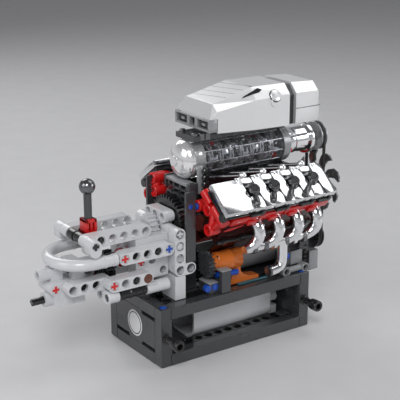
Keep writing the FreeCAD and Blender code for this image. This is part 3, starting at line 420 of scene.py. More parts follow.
def doubled(mesh):
    """Adds the far side's mirror image."""
    found = bmesh.ops.duplicate(mesh, geom=mesh.verts[:] + mesh.edges[:] + mesh.faces[:])["geom"]
    for corner in (item for item in found if isinstance(item, bmesh.types.BMVert)):
        corner.co.y = -corner.co.y
    bmesh.ops.reverse_faces(mesh, faces=[item for item in found if isinstance(item, bmesh.types.BMFace)])


fittings = bmesh.new()
for x in (-2.7, -2.0):
    turned(fittings, [(-0.2, 0), (-0.2, 1.3), (0, 2.3), (3, 2.3), (3, 0)],
           facing(grid(x, -3.55, 5.55), INWARD), 20)
block(fittings, (-1.62, -0.68), (-3.95, -2.2), (6.86, 6.98), paint=1)
block(fittings, (-2.6, -1.7), (-3.52, -2.0), (5.88, 5.98), paint=1)
turned(fittings, [(-0.2, 0), (-0.2, 1.5), (0, 2.3), (3, 2.3), (3, 0)],
       facing(grid(5.75, -3.15, 6.45), INWARD), 20)
block(fittings, (6.1, 7.35), (-3.16, -3.0), (5.6, 6.78), paint=1)
block(fittings, (8.02, 8.95), (-3.36, -3.2), (4.75, 6.46), paint=1)
for z in (5.7, 6.1, 6.5):
    turned(fittings, [(-1.9, 0), (-1.6, 1.2), (0, 1.9), (1.6, 1.2), (1.9, 0)],
           Matrix.Translation(grid(7.65, -3.1, z)), 16, 2)
for x, radius in ((5.25, 3.6), (7.3, 3.3)):
    end = facing(grid(x, -3.75, JOINER_Z), INWARD)
    turned(fittings, [(2.6, 0), (2.6, 2.0), (0.1, 2.1), (0, radius - 0.4), (0.4, radius), (6, radius),
                      (6, 0)], end, 24, 3)
    turned(fittings, [(2.4, 0), (2.4, 2.0), (2.5, 0)], end, 16, 2)
piped(fittings, [grid(5.5, -3.4, JOINER_Z), grid(7.1, -3.4, JOINER_Z)], 2.2, 18, 3)
doubled(fittings)
finish("deck_fittings", fittings, [blue, light_plate, black, joiner_grey], "frame")

# Crank, gears and pistons: black gears on a crankshaft, gold pistons in clear blocks.
# Gears and pulleys are pressed on cross-shaped axles.
gold = moulded("dark_gold", (0.42, 0.24, 0.04), 0.3, 0.02, metallic=0.6)
for node in ("crankshaft", "crank_wheels", "flywheel_gear", "lay_shaft", "output_shaft"):
    dress(node, black, 0.12)
for node in ("pistons_near_outer", "pistons_near_inner", "pistons_far_outer", "pistons_far_inner"):
    dress(node, gold)

# Crankcase: smoked dark red clear blocks and side panels over a half-round grey sump.
# The clear shells clip between the bulkhead and the front frame.
smoked = moulded("smoked_clear", (0.16, 0.035, 0.03), 0.08, 0.01, clear=0.75)
grey_clear = moulded("grey_clear", (0.26, 0.27, 0.28), 0.22, 0.01, clear=0.15, cloud=20, change=0.3)
dress("cylinder_blocks", smoked, 0)
dress("crankcase_sides", smoked, 0)
dress("sump_cover", grey_clear, 0)

# Lower edge trim: black bars in two runs along both crankcase sides, with clips.
# The bars are snapped into the clip tiles.
CRANK_Z = 6.5
BANK_SIN = 0.6
BANK_COS = 0.8
BANK_TURN = Matrix.Translation(grid(0, 0, CRANK_Z)) @ Matrix.Rotation(math.atan2(BANK_SIN, BANK_COS), 4, "X")
TRIM_U = 4.35


def bank(x, w, u):
    """A place on the near bank: w across it and u along its cylinders."""
    return grid(x, BANK_COS * w - BANK_SIN * u, CRANK_Z + BANK_SIN * w + BANK_COS * u)


def bank_block(mesh, x, w, u, edge=0.3, paint=0):
    """Rounded box laid square to the near bank."""
    block(mesh, x, w, u, edge, paint, BANK_TURN)


trim = bmesh.new()
for x0, x1 in ((-1.9, 2.6), (2.8, 7.8)):
    piped(trim, [bank(x0, -1.12, TRIM_U), bank(x1, -1.12, TRIM_U)], 1.5, 12)
for x in (-1.2, 0.6, 2.2, 4.0, 6.0, 7.2):
    bank_block(trim, around(x, 0.25), (-1.34, -1.0), (4.15, 4.7))
doubled(trim)
finish("crankcase_trim", trim, [black], "frame")

# Red bank frames: long red beams with joiner tubes and bored clips at the rear end.
# They hold the blocks and the trays; blue pins lock the clips.
red = moulded("gloss_red", (0.62, 0.012, 0.012), 0.22, coat=0.4)
CLIP_X = -2.55


def blind_ring(mesh, spot, length=7.2):
    """Bored end of a joiner; the hole ends in a near-black disc of painted shade."""
    place = facing(spot, FORWARD)
    turned(mesh, [(2.5, 0), (2.5, 2.3), (0.1, 2.45), (0, 2.7), (0, 3.55), (0.35, 3.95), (length - 0.3, 3.95),
                  (length, 3.6), (length, 0)], place, 28)
    turned(mesh, [(2.3, 0), (2.3, 2.35), (2.45, 2.35), (2.45, 0)], place, 20, 1)


clips = bmesh.new()
for w in (-1, 1):
    for run in ((-1.9, 0.7), (0.8, 3.3), (3.4, 5.9), (6.0, 7.9)):
        bank_block(clips, run, around(w, 0.44), (6.92, 7.72))
for x in (0.1, 2.2, 4.2, 6.2):
    bank_block(clips, (x - 0.35, x + 0.45), (-1.6, -1.2), (6.75, 7.3))
for w, u in ((1.62, 6.05), (0.55, 6.85), (-0.5, 5.6)):
    blind_ring(clips, bank(-3.0, w, u))
for a, b in (((1.62, 6.05), (1.5, 7.2)), ((1.5, 7.1), (0.55, 6.85)), ((0.2, 7.2), (-0.5, 5.6)),
             ((-0.9, 7.1), (-0.5, 5.6))):
    piped(clips, [bank(CLIP_X, *a), bank(CLIP_X, *b)], 2.6, 18)
for w0, w1 in ((2.0, 0.75), (0.35, -1.35)):
    piped(clips, [bank(-2.5, w, 7.3) for w in (w0, (w0 + w1) / 2, w1)], 3.5, 24)
piped(clips, [bank(-2.2, -0.5, 5.6), bank(-1.0, -0.75, 5.75), bank(0.2, -0.9, 5.95)], [3.4, 2.6, 0.9], 20)
doubled(clips)
for y, z in ((3.55, 12.0), (2.75, 13.55), (2.5, 12.5)):
    blind_ring(clips, grid(-4.05, y, z), 9.5)
piped(clips, [grid(-3.6, 3.55, 12.0), grid(-3.6, 2.5, 12.5), grid(-3.6, 2.75, 13.55)], 3.0, 18)
finish("red_clip_tubes", clips, [red, seam_and_shade_black], "frame", ("bank_frames_red",))

# Cover trays: three black plates stacked under each valve cover, with open clips along
# the outer edge. They are pressed on the red beams.
TRAY_LAYERS = ((7.76, 7.95, -0.12), (7.98, 8.17, 0.0), (8.2, 8.39, -0.05))
trays = bmesh.new()
for u0, u1, grow in TRAY_LAYERS:
    bank_block(trays, (-2.9 - grow, 7.9 + grow), around(0, 1.42 + grow), (u0, u1), 0.15)
for x in (0.4, 2.9, 5.4, 7.2):
    piped(trays, [bank(x - 0.8, -1.5, 8.05), bank(x + 0.1, -1.5, 8.05)], 1.3, 10)
    bank_block(trays, (x + 0.12, x + 0.5), (-1.62, -1.3), (7.9, 8.35))
turned(trays, [(0, 1.3), (0, 2.9), (0.6, 3.0), (2, 3.0), (2, 1.3)],
       facing(bank(-3.02, -1.15, 8.02), FORWARD), 24)
doubled(trays)
finish("layered_trays", trays, [black], "frame", ("cover_trays",))

# Valve covers: plated tiles in two plain end fields and three fields between four slots.
# Clips stand along the upper edge; the slots open on the black tray.
chrome = moulded("mirror_chrome", (0.86, 0.87, 0.88), 0.12, 0.01, metallic=1.0, cloud=60, change=0.06)
dark_metal = moulded("gunmetal", (0.20, 0.20, 0.21), 0.2, 0.02, metallic=0.9)
PLUG_X = (0.45, 2.45, 4.45, 6.45)
COVER_X = (-3.0, 8.0)
COVER_W = 1.5
COVER_U = 8.42
JOINT = 0.015
covers = bmesh.new()
slots = [(x - 0.62, x + 0.4) for x in PLUG_X]
edges = [COVER_X[0], *(edge for slot in slots for edge in slot), COVER_X[1]]
for x0, x1 in zip(edges[0::2], edges[1::2]):
    bank_block(covers, (x0 + JOINT, x1 - JOINT), (-COVER_W, COVER_W), (COVER_U, 8.95))
for x, slot in zip(PLUG_X, slots):
    bank_block(covers, slot, (0.95, COVER_W), (COVER_U, 8.93))
    bank_block(covers, slot, (-COVER_W, -0.3), (COVER_U, 8.93))
    # Each slot's pocket is floored with a near-black sheet of painted shade.
    bank_block(covers, slot, (-0.3, 0.95), (8.40, 8.46), 0, 1)
    bank_block(covers, (x - 0.46, x + 0.3), (0.68, 0.94), (8.46, 8.74), paint=2)
    bank_block(covers, (x + 0.41, x + 0.44), (-1.49, 1.49), (8.9, 8.965), 0, 1)
    for offset in (-0.84, 0.78):
        bank_block(covers, around(x + offset, 0.1), (1.3, 1.56), (8.9, 9.05))
        piped(covers, [bank(end, 1.52, 8.9) for end in around(x + offset, 0.28)], 1.0, 10)
doubled(covers)
finish("cover_tiles", covers, [chrome, seam_and_shade_black, dark_metal], "frame", ("valve_covers",))

# Plugs: burnished ball joints whose socket mouth is painted shade in near-black, each with a
# stout dark rod that leans down over the cover's edge. The balls snap on studs in the slots.
burnished = moulded("burnished", (0.15, 0.15, 0.155), 0.22, 0.02, metallic=0.9)
plugs = bmesh.new()
for i, x in enumerate(PLUG_X):
    ball = bank(x, 0.19, 9.0)
    foot = bank(x - 0.5 - 0.42 * i, -1.3, 9.06)
    socket_at = facing(ball, bank(x - 0.15, 0.15, 9.5) - ball)
    turned(plugs, [(-3.9, 0), (-3.5, 1.8), (-2.6, 3.0), (-1.2, 3.9), (0.2, 4.1), (1.6, 3.8), (2.6, 3.15),
                   (3.1, 2.6), (2.7, 2.2)], socket_at, 28, 2)
    # A near-black cone of painted shade fills the socket's mouth.
    turned(plugs, [(0.6, 0), (2.75, 2.25), (2.9, 2.2), (0.7, 0)], socket_at, 20, 0)
    turned(plugs, [(-3.4, 0), (-3.4, 1.5), (0, 1.6), (0, 0)], facing(ball, bank(x, 0.19, 9.6) - ball), 14, 1)
    rod = [ball.lerp(foot, share) for share in (0.22, 0.5, 0.56, 0.95, 1)]
    piped(plugs, rod, [1.6, 1.5, 2.0, 1.95, 1.5], 16, 2)
doubled(plugs)
finish("plug_joints", plugs, [seam_and_shade_black, black, burnished], "frame", ("spark_plugs",))

# Valley links: bright ball ends in the valley with thin plated rods up to the blower.
# Each rod is moulded in one with its ball and plugs into the blower's underside.
bright = moulded("bright_plating", (0.93, 0.93, 0.94), 0.2, 0.01, metallic=0.75, cloud=60, change=0.05)
INTO_VALLEY = Vector((0, -BANK_SIN, BANK_COS))
links = bmesh.new()
for x in PLUG_X:
    seat = bank(x + 0.1, 1.95, 8.6)
    end = Vector((seat.x, 0, 0)) + grid(-1.4, -1.42, 14.15)
    turned(links, [(-2.7, 0), (-2.5, 1.0), (-1.9, 1.9), (-0.9, 2.55), (0, 2.7), (0.9, 2.55), (1.9, 1.9),
                   (2.5, 1.0), (2.7, 0)], facing(seat, INTO_VALLEY), 24)
    piped(links, [seat, (seat + end) / 2, end], 1.15, 12, 1)
    turned(links, [(-1.5, 0), (-1.5, 1.7), (1.5, 1.7), (1.5, 0)], facing(end, seat - end), 14, 1)
doubled(links)
finish("valley_rods", links, [bright, dark_metal], "frame", ("valley_links",))

# Exhaust headers: four plated pipes a side bend down into a chain of joints, and a
# down pipe ends in a dark bush. They are moulded, plated and pushed on axle stubs.
HEADER_Y = -5.2
CHAIN_Z = 8.9
PIPE_R = 4.1
BEND_STEPS = 4


def flowing(points):
    """A smooth path through points (Catmull-Rom)."""
    ends = [points[0] * 2 - points[1]] + points + [points[-1] * 2 - points[-2]]
    path = []
    for a, b, c, d in zip(ends, ends[1:], ends[2:], ends[3:]):
        for i in range(BEND_STEPS):
            t = i / BEND_STEPS
            path.append(0.5 * (2 * b + (c - a) * t + (2 * a - 5 * b + 4 * c - d) * t * t
                               + (3 * b - a - 3 * c + d) * t ** 3))
    return path + [points[-1]]


pipes = bmesh.new()
bend = [(0, -4.6, 11.0), (0, -4.95, 10.86), (0.02, -5.22, 10.55), (0.04, -5.32, 10.1), (-0.08, -5.3, 9.65),
        (-0.4, -5.25, 9.27), (-0.85, HEADER_Y, 9.02), (-1.3, HEADER_Y, CHAIN_Z)]
for x in (0.95, 2.95, 4.95, 6.95):
    path = flowing([grid(x + back, y, z) for back, y, z in bend])
    taper = [max(0, i / len(path) - 0.6) * 3.4 for i in range(len(path))]
    piped(pipes, path, [PIPE_R - less for less in taper], 24)
piped(pipes, flowing([grid(x, HEADER_Y, CHAIN_Z + 0.02 * x) for x in (-0.2, 2.0, 4.0, 5.9)]), 2.9, 18)
for x in (0.5, 1.6, 2.5, 3.7, 4.6, 5.6):
    turned(pipes, [(-1.4, 2.9), (-1.3, 3.7), (1.3, 3.7), (1.4, 2.9)],
           facing(grid(x, HEADER_Y, 8.92), Vector((1, 0, 0.02))), 20, 0 if x in (2.5, 4.6) else 1)
drop = [(3.5, CHAIN_Z), (3.5, 8.3), (3.5, 7.5), (3.42, 7.0), (3.1, 6.68), (2.6, 6.58), (2.25, 6.55)]
piped(pipes, flowing([grid(x, HEADER_Y, z) for x, z in drop]), 3.35, 24)
turned(pipes, [(0, 3.35), (0.1, 3.7), (1.5, 3.7), (1.6, 2.6), (1.6, 0)],
       facing(grid(2.25, HEADER_Y, 6.55), Vector((-2.25, 0, -0.05))), 24, 1)
doubled(pipes)
finish("header_pipes", pipes, [chrome, dark_metal], "frame", ("exhaust_headers",))

# Starter: a clear orange barrel in two steps, with a bored rear end and four screws, on
# a swept orange leg; blue pins hold it. A grey pinion behind it turns the ring gear.
orange = moulded("clear_orange", (0.80, 0.20, 0.03), 0.14, 0.01, clear=0.25)
teal = moulded("clear_teal", (0.05, 0.20, 0.25), 0.2, 0.01, clear=0.3)
STARTER_Y = -2.4
STARTER_Z = 7.2


def spoke(radius, degrees):
    """A step square to the X axis; the radius is in millimetres."""
    return radius * MM * Vector((0, math.cos(math.radians(degrees)), math.sin(math.radians(degrees))))


dress("starter_pinion", satin_grey, 0.12)
motor = bmesh.new()
rear_end = facing(grid(-1.78, STARTER_Y, STARTER_Z), FORWARD)
turned(motor, [(0, 3.1), (0, 5.0), (0.5, 5.5), (3.6, 5.6), (4.0, 6.2), (4.6, 6.8), (13.5, 6.85), (14, 7.1),
               (15.6, 7.1), (16, 6.8), (22.4, 6.7), (23.0, 6.1), (23.0, 0)], rear_end, 36)
# A near-black disc of painted shade closes the bore in the rear end.
turned(motor, [(3.2, 0), (3.2, 3.05), (3.3, 3.1), (3.4, 0)], rear_end, 24, 1)
for angle in (35, 125, 215, 305):
    turned(motor, [(-0.2, 0), (-0.2, 1.3), (0, 1.4), (0.6, 1.4), (0.6, 0)],
           Matrix.Translation(grid(-1.3, STARTER_Y, STARTER_Z) + spoke(5.0, angle)), 14, 1)
finish("starter_barrel", motor, [orange, seam_and_shade_black], "frame", ("starter_motor",))
foot = bmesh.new()
leg = [(0.2, 6.6), (1.0, 6.6), (1.05, 6.1), (1.3, 5.78), (1.85, 5.52), (2.9, 5.36), (2.9, 5.06), (0.0, 5.06),
       (0.1, 5.6)]
skinned(foot, [[grid(x, y, z) for x, z in leg] for y in (-2.85, -1.95)], paint=2)
block(foot, (0.6, 3.6), (-3.2, -2.9), (5.02, 5.14), paint=3)
block(foot, (-1.5, -0.2), (-3.1, -2.2), (5.9, 6.0), paint=1)
piped(foot, [grid(-0.4, -3.1, 6.25), grid(0.5, -3.1, 6.25)], 1.9, 16)
piped(foot, [grid(-1.5, -2.9, 6.3), grid(-0.9, -2.9, 6.3)], 1.9, 16)
turned(foot, [(0, 0), (0, 2.1), (0.4, 2.5), (3, 2.5), (5, 1.7), (5, 0)],
       facing(grid(1.0, STARTER_Y, 7.65), Vector((1.6, -0.3, 0.2))), 18, 2)
finish("starter_foot", foot, [blue, satin_grey, orange, teal], "frame")

# Blower's rear: a plated dome with a bored hub and a grey ring with eight clips.
# The dome is one plated moulding that caps the case.
satin_silver = moulded("satin_silver", (0.36, 0.37, 0.38), 0.26, 0.02, metallic=0.5, cloud=50, change=0.1)
BLOWER_Z = 15.6
DOME_X = -2.6
DOME_R = 12.7
DOME_LENGTH = 8.0


def spun(spot, degrees):
    """A place at the spot, turned round the X axis."""
    return Matrix.Translation(spot) @ Matrix.Rotation(math.radians(degrees), 4, "X")


dome = bmesh.new()
rim = Matrix.Translation(grid(DOME_X, 0, BLOWER_Z))
hub = [(-8.6, 1.9), (-8.7, 2.3), (-8.5, 3.1), (-7.8, 3.3)]
bowl = [(-DOME_LENGTH * math.cos(math.radians(angle)), DOME_R * math.sin(math.radians(angle)))
        for angle in range(15, 91, 5)]
turned(dome, hub + bowl + [(0.6, 12.75), (0.8, 12.3), (0.8, 0)], rim, 64)
# A near-black cone of painted shade fills the hub's bore.
turned(dome, [(-8.0, 0), (-8.0, 1.9), (-8.4, 1.95), (-8.5, 2.2), (-7.5, 0)], rim, 28, 2)
turned(dome, [(0.8, 12.0), (0.8, 12.6), (8.4, 12.6), (8.6, 12.2), (8.6, 0)], rim, 56, 1)
for angle in range(18, 378, 45):
    clip_at = spun(grid(-2.2, 0, BLOWER_Z) + spoke(12.2, angle), angle)
    block(dome, (-0.275, 0.275), (-0.1875, 0.1375), (-0.2, 0.2), place=clip_at)
finish("dome_and_ring", dome, [bright, satin_silver, seam_and_shade_black], "frame", ("blower_dome",))

# Blower case: one dark clear moulding. Inside it are seven pairs of plated rings with
# bright, black and red bricks between them, and ten thin rods.
blower_clear = moulded("dark_clear", (0.66, 0.67, 0.70), 0.05, 0.01, clear=0.95)
blower_clear.node_tree.nodes["Principled BSDF"].inputs["IOR"].default_value = 1.12
RING_PAIRS = 7
RING_PITCH = 1.02
BRICKS = 12
RODS = 10
dress("blower_case", blower_clear, 0)
ribs = bmesh.new()
for i in range(RING_PAIRS):
    x = -0.95 + i * RING_PITCH
    for shift in (-0.12, 0.14):
        turned(ribs, [(-0.42, 10.4), (-0.4, 11.4), (0.4, 11.4), (0.42, 10.4)],
               Matrix.Translation(grid(x + shift, 0, BLOWER_Z)), 48)
    for k in range(BRICKS):
        angle = 360 / BRICKS * k + 11 * i
        paint = 2 if (k + 3 * i) % 19 == 4 else (k + i) % 2
        block(ribs, (-0.2375, 0.2375), (-0.1, 0.1), around(0, 0.1375 + 0.05 * (k % 3)), 0.2, paint,
              spun(grid(x + 0.45, 0, BLOWER_Z) + spoke(10.4, angle), angle))
for k in range(RODS):
    piped(ribs, [grid(x, 0, BLOWER_Z) + spoke(11.2, 360 / RODS * k + 8) for x in (-1.4, 6.3)], 0.42, 8)
finish("case_ribs", ribs, [bright, black, red], "frame")

# Blower rotor: a matt black drum with small bright, black and red lobes wound round it,
# and a grooved grey pulley. It turns as one on a cross axle.
matt_black = moulded("matt_black", (0.006, 0.006, 0.006), 0.55)
LOBE_ROWS = 30
LOBES = 9
PULLEY_X = 11.15
rotor = bmesh.new()
rotor_end = Matrix.Translation(grid(-1.4, 0, BLOWER_Z))
turned(rotor, [(0, 0), (0, 9.4), (61.4, 9.4), (61.4, 0)], rotor_end, 40, 4)
turned(rotor, [(-4.6, 0), (-4.6, 2.3), (101, 2.3), (101, 0)], rotor_end, 20)
for i in range(LOBE_ROWS):
    for k in range(LOBES):
        angle = 360 / LOBES * k + 23 * i
        block(rotor, around(0, 0.075 + 0.0375 * ((i + k) % 2)), (-0.0625, 0.0625),
              around(0, 0.075 + 0.1 * ((i * k) % 3 == 1)), 0, 1 + ((i + 2 * k) % 7 == 0),
              spun(grid(-1.25 + 0.25 * i, 0, BLOWER_Z) + spoke(9.6, angle), angle))
turned(rotor, [(-2.6, 0), (-2.6, 3.4), (-1.2, 3.8), (-1.2, 7.2), (-2.4, 7.4), (-2.6, 9.7), (-2.3, 10.0),
               (-1.7, 10.0), (-1.2, 8.5), (1.2, 8.5), (1.7, 10.0), (2.3, 10.0), (2.6, 9.7), (2.4, 7.4),
               (1.2, 7.2), (1.2, 3.8), (2.6, 3.4), (2.6, 0)],
       Matrix.Translation(grid(PULLEY_X, 0, BLOWER_Z)), 48, 3)
finish("blower_lobes", rotor, [black, bright, red, satin_silver, matt_black], "blower_train",
       ("blower_rotor",))

# Blower's nose: a light grey end plate with six screws, and a plated snout with a
# flange at its front. Both are pushed on the case's end.
snout = bmesh.new()
front = Matrix.Translation(grid(6.4, 0, BLOWER_Z))
turned(snout, [(0.1, 9.7), (0.1, 12.3), (0.4, 12.75), (5.9, 12.75), (6.3, 12.3), (6.3, 2.5)], front, 56, 1)
turned(snout, [(6.3, 8.4), (7.2, 8.8), (12, 8.8), (12.4, 8.2), (14, 8.2), (14.4, 8.8), (24.6, 8.8), (25, 8.3),
               (25.6, 8.3), (25.6, 10.6), (27.0, 10.9), (28.4, 10.6), (28.7, 8.6), (28.7, 2.5)], front, 56)
for angle in range(20, 380, 60):
    turned(snout, [(-0.2, 0), (-0.2, 1.7), (1.2, 1.7), (1.4, 1.3), (1.4, 0)],
           Matrix.Translation(grid(7.2, 0, BLOWER_Z) + spoke(10.5, angle)), 14, 2 if angle == 200 else 0)
finish("blower_nose", snout, [chrome, satin_silver, red], "frame", ("blower_snout",))

# Belt drive and fan: a rubber band over grooved wheels, and eight smoky crescent blades
# with light rims. The fan's hub sits on an axle in the front frame.
smoke_black = moulded("smoke_black", (0.09, 0.088, 0.088), 0.12, 0.01, clear=0.45, coat=0.6)
BLADES = 8
TIP_R = 21.5
FAN_MIDDLE = grid(11.7, 0, 11.5)
dress("drive_belt", moulded("belt_rubber", (0.015, 0.015, 0.015), 0.7, 0.3))
dress("fan", smoke_black, 0.3)
rims = bmesh.new()
for blade in range(BLADES):
    tips = [360 / BLADES * (blade + 0.5) + turn for turn in range(-2, 15, 2)]
    piped(rims, [FAN_MIDDLE + spoke(TIP_R, tip) for tip in tips], 0.5, 8)
finish("fan_rims", rims, [satin_silver], "fan_train")

# Scoop: a hood and tail of brushed plated panels, with a black core between them, on a
# grey plate. The panels meet at fine seams and are clipped to the plate.
SILL_Z = 17.7
TAIL_STATIONS = ((6.76, 2.5, 20.3, 21.08, 1.75, 0.0), (9.1, 2.48, 20.25, 20.95, 1.75, 0.0),
                 (9.5, 2.3, 20.0, 20.6, 1.6, 0.25), (9.62, 2.15, 19.6, 20.0, 1.5, 0.6))
brushed, tree, shader = new_material("brushed_plating")
place = tree.nodes.new("ShaderNodeTexCoord")
stretch = tree.nodes.new("ShaderNodeMapping")
stretch.inputs["Scale"].default_value = (6, 420, 40)
grain = tree.nodes.new("ShaderNodeTexNoise")
grain.inputs["Scale"].default_value = 2.0
grain.inputs["Detail"].default_value = 0
shine = tree.nodes.new("ShaderNodeMapRange")
shine.inputs["To Min"].default_value = 0.29
shine.inputs["To Max"].default_value = 0.33
tone = tree.nodes.new("ShaderNodeValToRGB")
tone.color_ramp.elements[0].color = (0.86, 0.87, 0.88, 1)
tone.color_ramp.elements[1].color = (0.89, 0.89, 0.90, 1)
tree.links.new(place.outputs["Object"], stretch.inputs["Vector"])
tree.links.new(stretch.outputs["Vector"], grain.inputs["Vector"])
tree.links.new(grain.outputs["Fac"], shine.inputs["Value"])
tree.links.new(grain.outputs["Fac"], tone.inputs["Fac"])
tree.links.new(shine.outputs["Result"], shader.inputs["Roughness"])
tree.links.new(tone.outputs["Color"], shader.inputs["Base Color"])
shader.inputs["Metallic"].default_value = 0.62
dress("scoop_hood", brushed, 0.4)
dress("scoop_core", black)
dress("scoop_plate", satin_grey)
tail = bmesh.new()
outlines = []
for x, half, shoulder, top, top_half, lift in TAIL_STATIONS:
    flank = [(half - 0.05, SILL_Z + lift), (half, SILL_Z + lift + 0.1), (half + 0.02, 19.0), (half, shoulder),
             (top_half, top)]
    outlines.append([grid(x, y, z) for y, z in flank] + [grid(x, -y, z) for y, z in flank[::-1]])
skinned(tail, outlines)
for seam in ((-2.535, -2.5), (2.5, 2.535)):
    block(tail, (6.8, 9.35), seam, (18.98, 19.02), 0, 1)
finish("scoop_tail_shell", tail, [brushed, seam_and_shade_black], "frame", ("scoop_tail",))

# Scoop mouths: a silver frame with two wide mouths and a narrow one between them, each
# wide one with a black insert. It is pressed on the hood's nose.
NOSE_X = (-1.88, -1.1)
NOSE_HALF = 2.44
nose = bmesh.new()
block(nose, NOSE_X, (-NOSE_HALF, NOSE_HALF), (18.95, 19.12))
block(nose, NOSE_X, (-NOSE_HALF, NOSE_HALF), (18.1, 18.3))
for post in ((-NOSE_HALF, -2.2), (-0.72, -0.36), (0.36, 0.72), (2.2, NOSE_HALF)):
    block(nose, NOSE_X, post, (18.2, 19.0))
# A near-black slab of painted shade fills the depth behind the mouths.
block(nose, (-1.5, -1.2), (-2.3, 2.3), (18.2, 19.0), 0, 1)
for y in (-1.46, 1.46):
    block(nose, (-1.72, -1.5), around(y, 0.62), (18.42, 18.86), paint=2)
    block(nose, (-1.78, -1.6), around(y, 0.22), (18.5, 18.72))
finish("scoop_mouths", nose, [satin_silver, seam_and_shade_black, black], "frame", ("scoop_nose",))

# Scoop details: a near-black sheet of painted shade in the gap below the fin, a round button
# ringed with painted shade on the shoulder and fine slanted seams on the sloping top.
# The button is a plated stud.
SLOPE = 0.24


def slope_height(x):
    """How high the hood's sloping top stands over a place along it."""
    return 20.25 + SLOPE * (x + 1.15)


gap = bmesh.new()
# A near-black sheet of painted shade in the gap below the fin.
corners = [grid(1.5, -2.2, 20.52), grid(3.15, -1.93, 21.0), grid(3.5, -2.05, 20.86), grid(3.2, -2.15, 20.74)]
skinned(gap, [[corner + lift * MM * Vector((0, -1, 1.3)) for corner in corners] for lift in (0.3, -0.4)])
finish("scoop_fin_gap", gap, [seam_and_shade_black], "frame")
details = bmesh.new()
button_at = facing(grid(4.6, -2.42, 20.3), Vector((0, -0.88, 0.5)))
# A ring of painted shade round the button.
turned(details, [(-1.0, 0), (-1.0, 4.3), (0.55, 4.3), (0.55, 0)], button_at, 36, 1)
turned(details, [(-1.0, 0), (-1.0, 3.9), (0.9, 3.9), (1.2, 3.5), (1.2, 0)], button_at, 36)
for x in (-0.5, 0.35, 1.2, 2.05):
    seam = [grid(end, y, slope_height(end) - 0.02) for end, y in ((x, 1.75), (x + 0.7, -1.75))]
    piped(details, seam, 0.24, 6, 1)
finish("scoop_button", details, [brushed, seam_and_shade_black], "frame")

# Scoop pegs: four short dark pegs between the blower's ring and the scoop's plate.
# They carry the plate on the saddle.
pegs = bmesh.new()
for x, y in ((-2.2, -0.9), (-1.7, -1.1), (-2.2, 0.9), (-1.2, -1.2)):
    turned(pegs, [(0, 0), (0, 2.2), (4.2, 2.2), (4.5, 1.8), (4.5, 0)], facing(grid(x, y, 17.3), UP), 18)
finish("scoop_pegs", pegs, [dark_metal], "frame")

# Gearbox frame: light grey beams and L-beams with round pin holes, on two pedestals.
# Each is injection moulded; the holes have shallow rims.
pale_grey = moulded("gloss_pale_grey", (0.62, 0.63, 0.65), 0.2, coat=0.5)
UPPER_Z = 9.5
LOWER_Z = 7.5
TOP_Z = 11
INNER_Y = 1.5
for node in ("gearbox_beams", "gearbox_connectors", "gearbox_cross_blocks", "gearbox_l_beams",
             "gearbox_walls", "gearbox_pedestals", "shift_fork"):
    dress(node, pale_grey, 0.3)
bored("gearbox_beams", [grid(x, BEAM_Y * side, UPPER_Z) for x in range(-10, -5) for side in SIDES]
      + [grid(x, BEAM_Y * side, LOWER_Z) for x in (-10, -9, -8, -11) for side in SIDES]
      + [grid(x, INNER_Y * side, LOWER_Z) for x in (-14, -13, -12, -11) for side in SIDES]
      + [grid(x + 0.5, INNER_Y * side, TOP_Z) for x in range(-13, -7) for side in SIDES], INWARD)
bored("gearbox_l_beams", [grid(-5, BEAM_Y * side, z) for z in (7.5, 8.5, 9.5, 10.5) for side in SIDES]
      + [grid(-4, BEAM_Y * side, LOWER_Z) for side in SIDES]
      + [grid(-5, INNER_Y * side, z) for z in (7.5, 8.5, 9.5, 10.5) for side in SIDES], INWARD, 7.8)
dress("input_shaft", pale_grey, 0.12)

# Hole fillings: cross-shaped axle tips, round pin tips and near-black discs of painted shade
# at the back of the beams' holes, and a grey back behind each cross-ended pin. They end inside the beams.
PIN_R = 2.45


def disc(mesh, spot, radius, depth, sides, paint):
    """Short round rod from the spot inward; radius and depth in millimetres."""
    turned(mesh, [(0, 0), (0, radius), (depth, radius), (depth, 0)], facing(spot, INWARD), sides, paint)


def crossed(mesh, spot, deep, radius, paint=0):
    """Cross-shaped axle from the spot inward, deep in grid units; radius in millimetres."""
    arm = 0.72
    reach = math.sqrt(radius ** 2 - arm ** 2)
    corner = [(reach, arm), (arm, arm), (arm, reach), (-arm, reach), (-arm, arm), (-reach, arm),
              (-reach, -arm), (-arm, -arm), (-arm, -reach), (arm, -reach), (arm, -arm), (reach, -arm)]
    length = deep * GRID
    lead = 0.0003
    outlines = [[(along, y * scale * MM, z * scale * MM) for y, z in corner]
                for along, scale in ((0, 0.9), (lead, 1), (length - lead, 1), (length, 0.9))]
    skinned(mesh, outlines, facing(spot, INWARD), paint)


tips = bmesh.new()
for x, z in ((-7, UPPER_Z), (-9, LOWER_Z)):
    crossed(tips, grid(x, -2.93, z), 0.83, 2.3)
crossed(tips, grid(-5, -2.97, 10.5), 0.87, 2.35, 1)
disc(tips, grid(-5, -2.9, 9.5), 2.3, 6, 20, 1)
disc(tips, grid(-5, -2.7, 8.5), 2.3, 6, 20, 1)
# Near-black discs of painted shade at the back of open holes.
for x, y, z in ((-8, -2.6, UPPER_Z), (-12, -1.6, LOWER_Z), (-13, -1.6, LOWER_Z), (-9, -2.6, UPPER_Z)):
    disc(tips, grid(x, y, z), 2.4, 4, 20, 2)
for x, y, z in ((-10, -2.93, UPPER_Z), (-11, -2.93, LOWER_Z), (-8, -1.93, 8.5), (-6, -2.93, UPPER_Z)):
    disc(tips, grid(x, y, z), PIN_R, 4, 24, 1)
doubled(tips)
disc(tips, grid(-15, -1.03, LOWER_Z), PIN_R, 4, 24, 1)
finish("gearbox_tips", tips, [black, pale_grey, seam_and_shade_black], "frame")

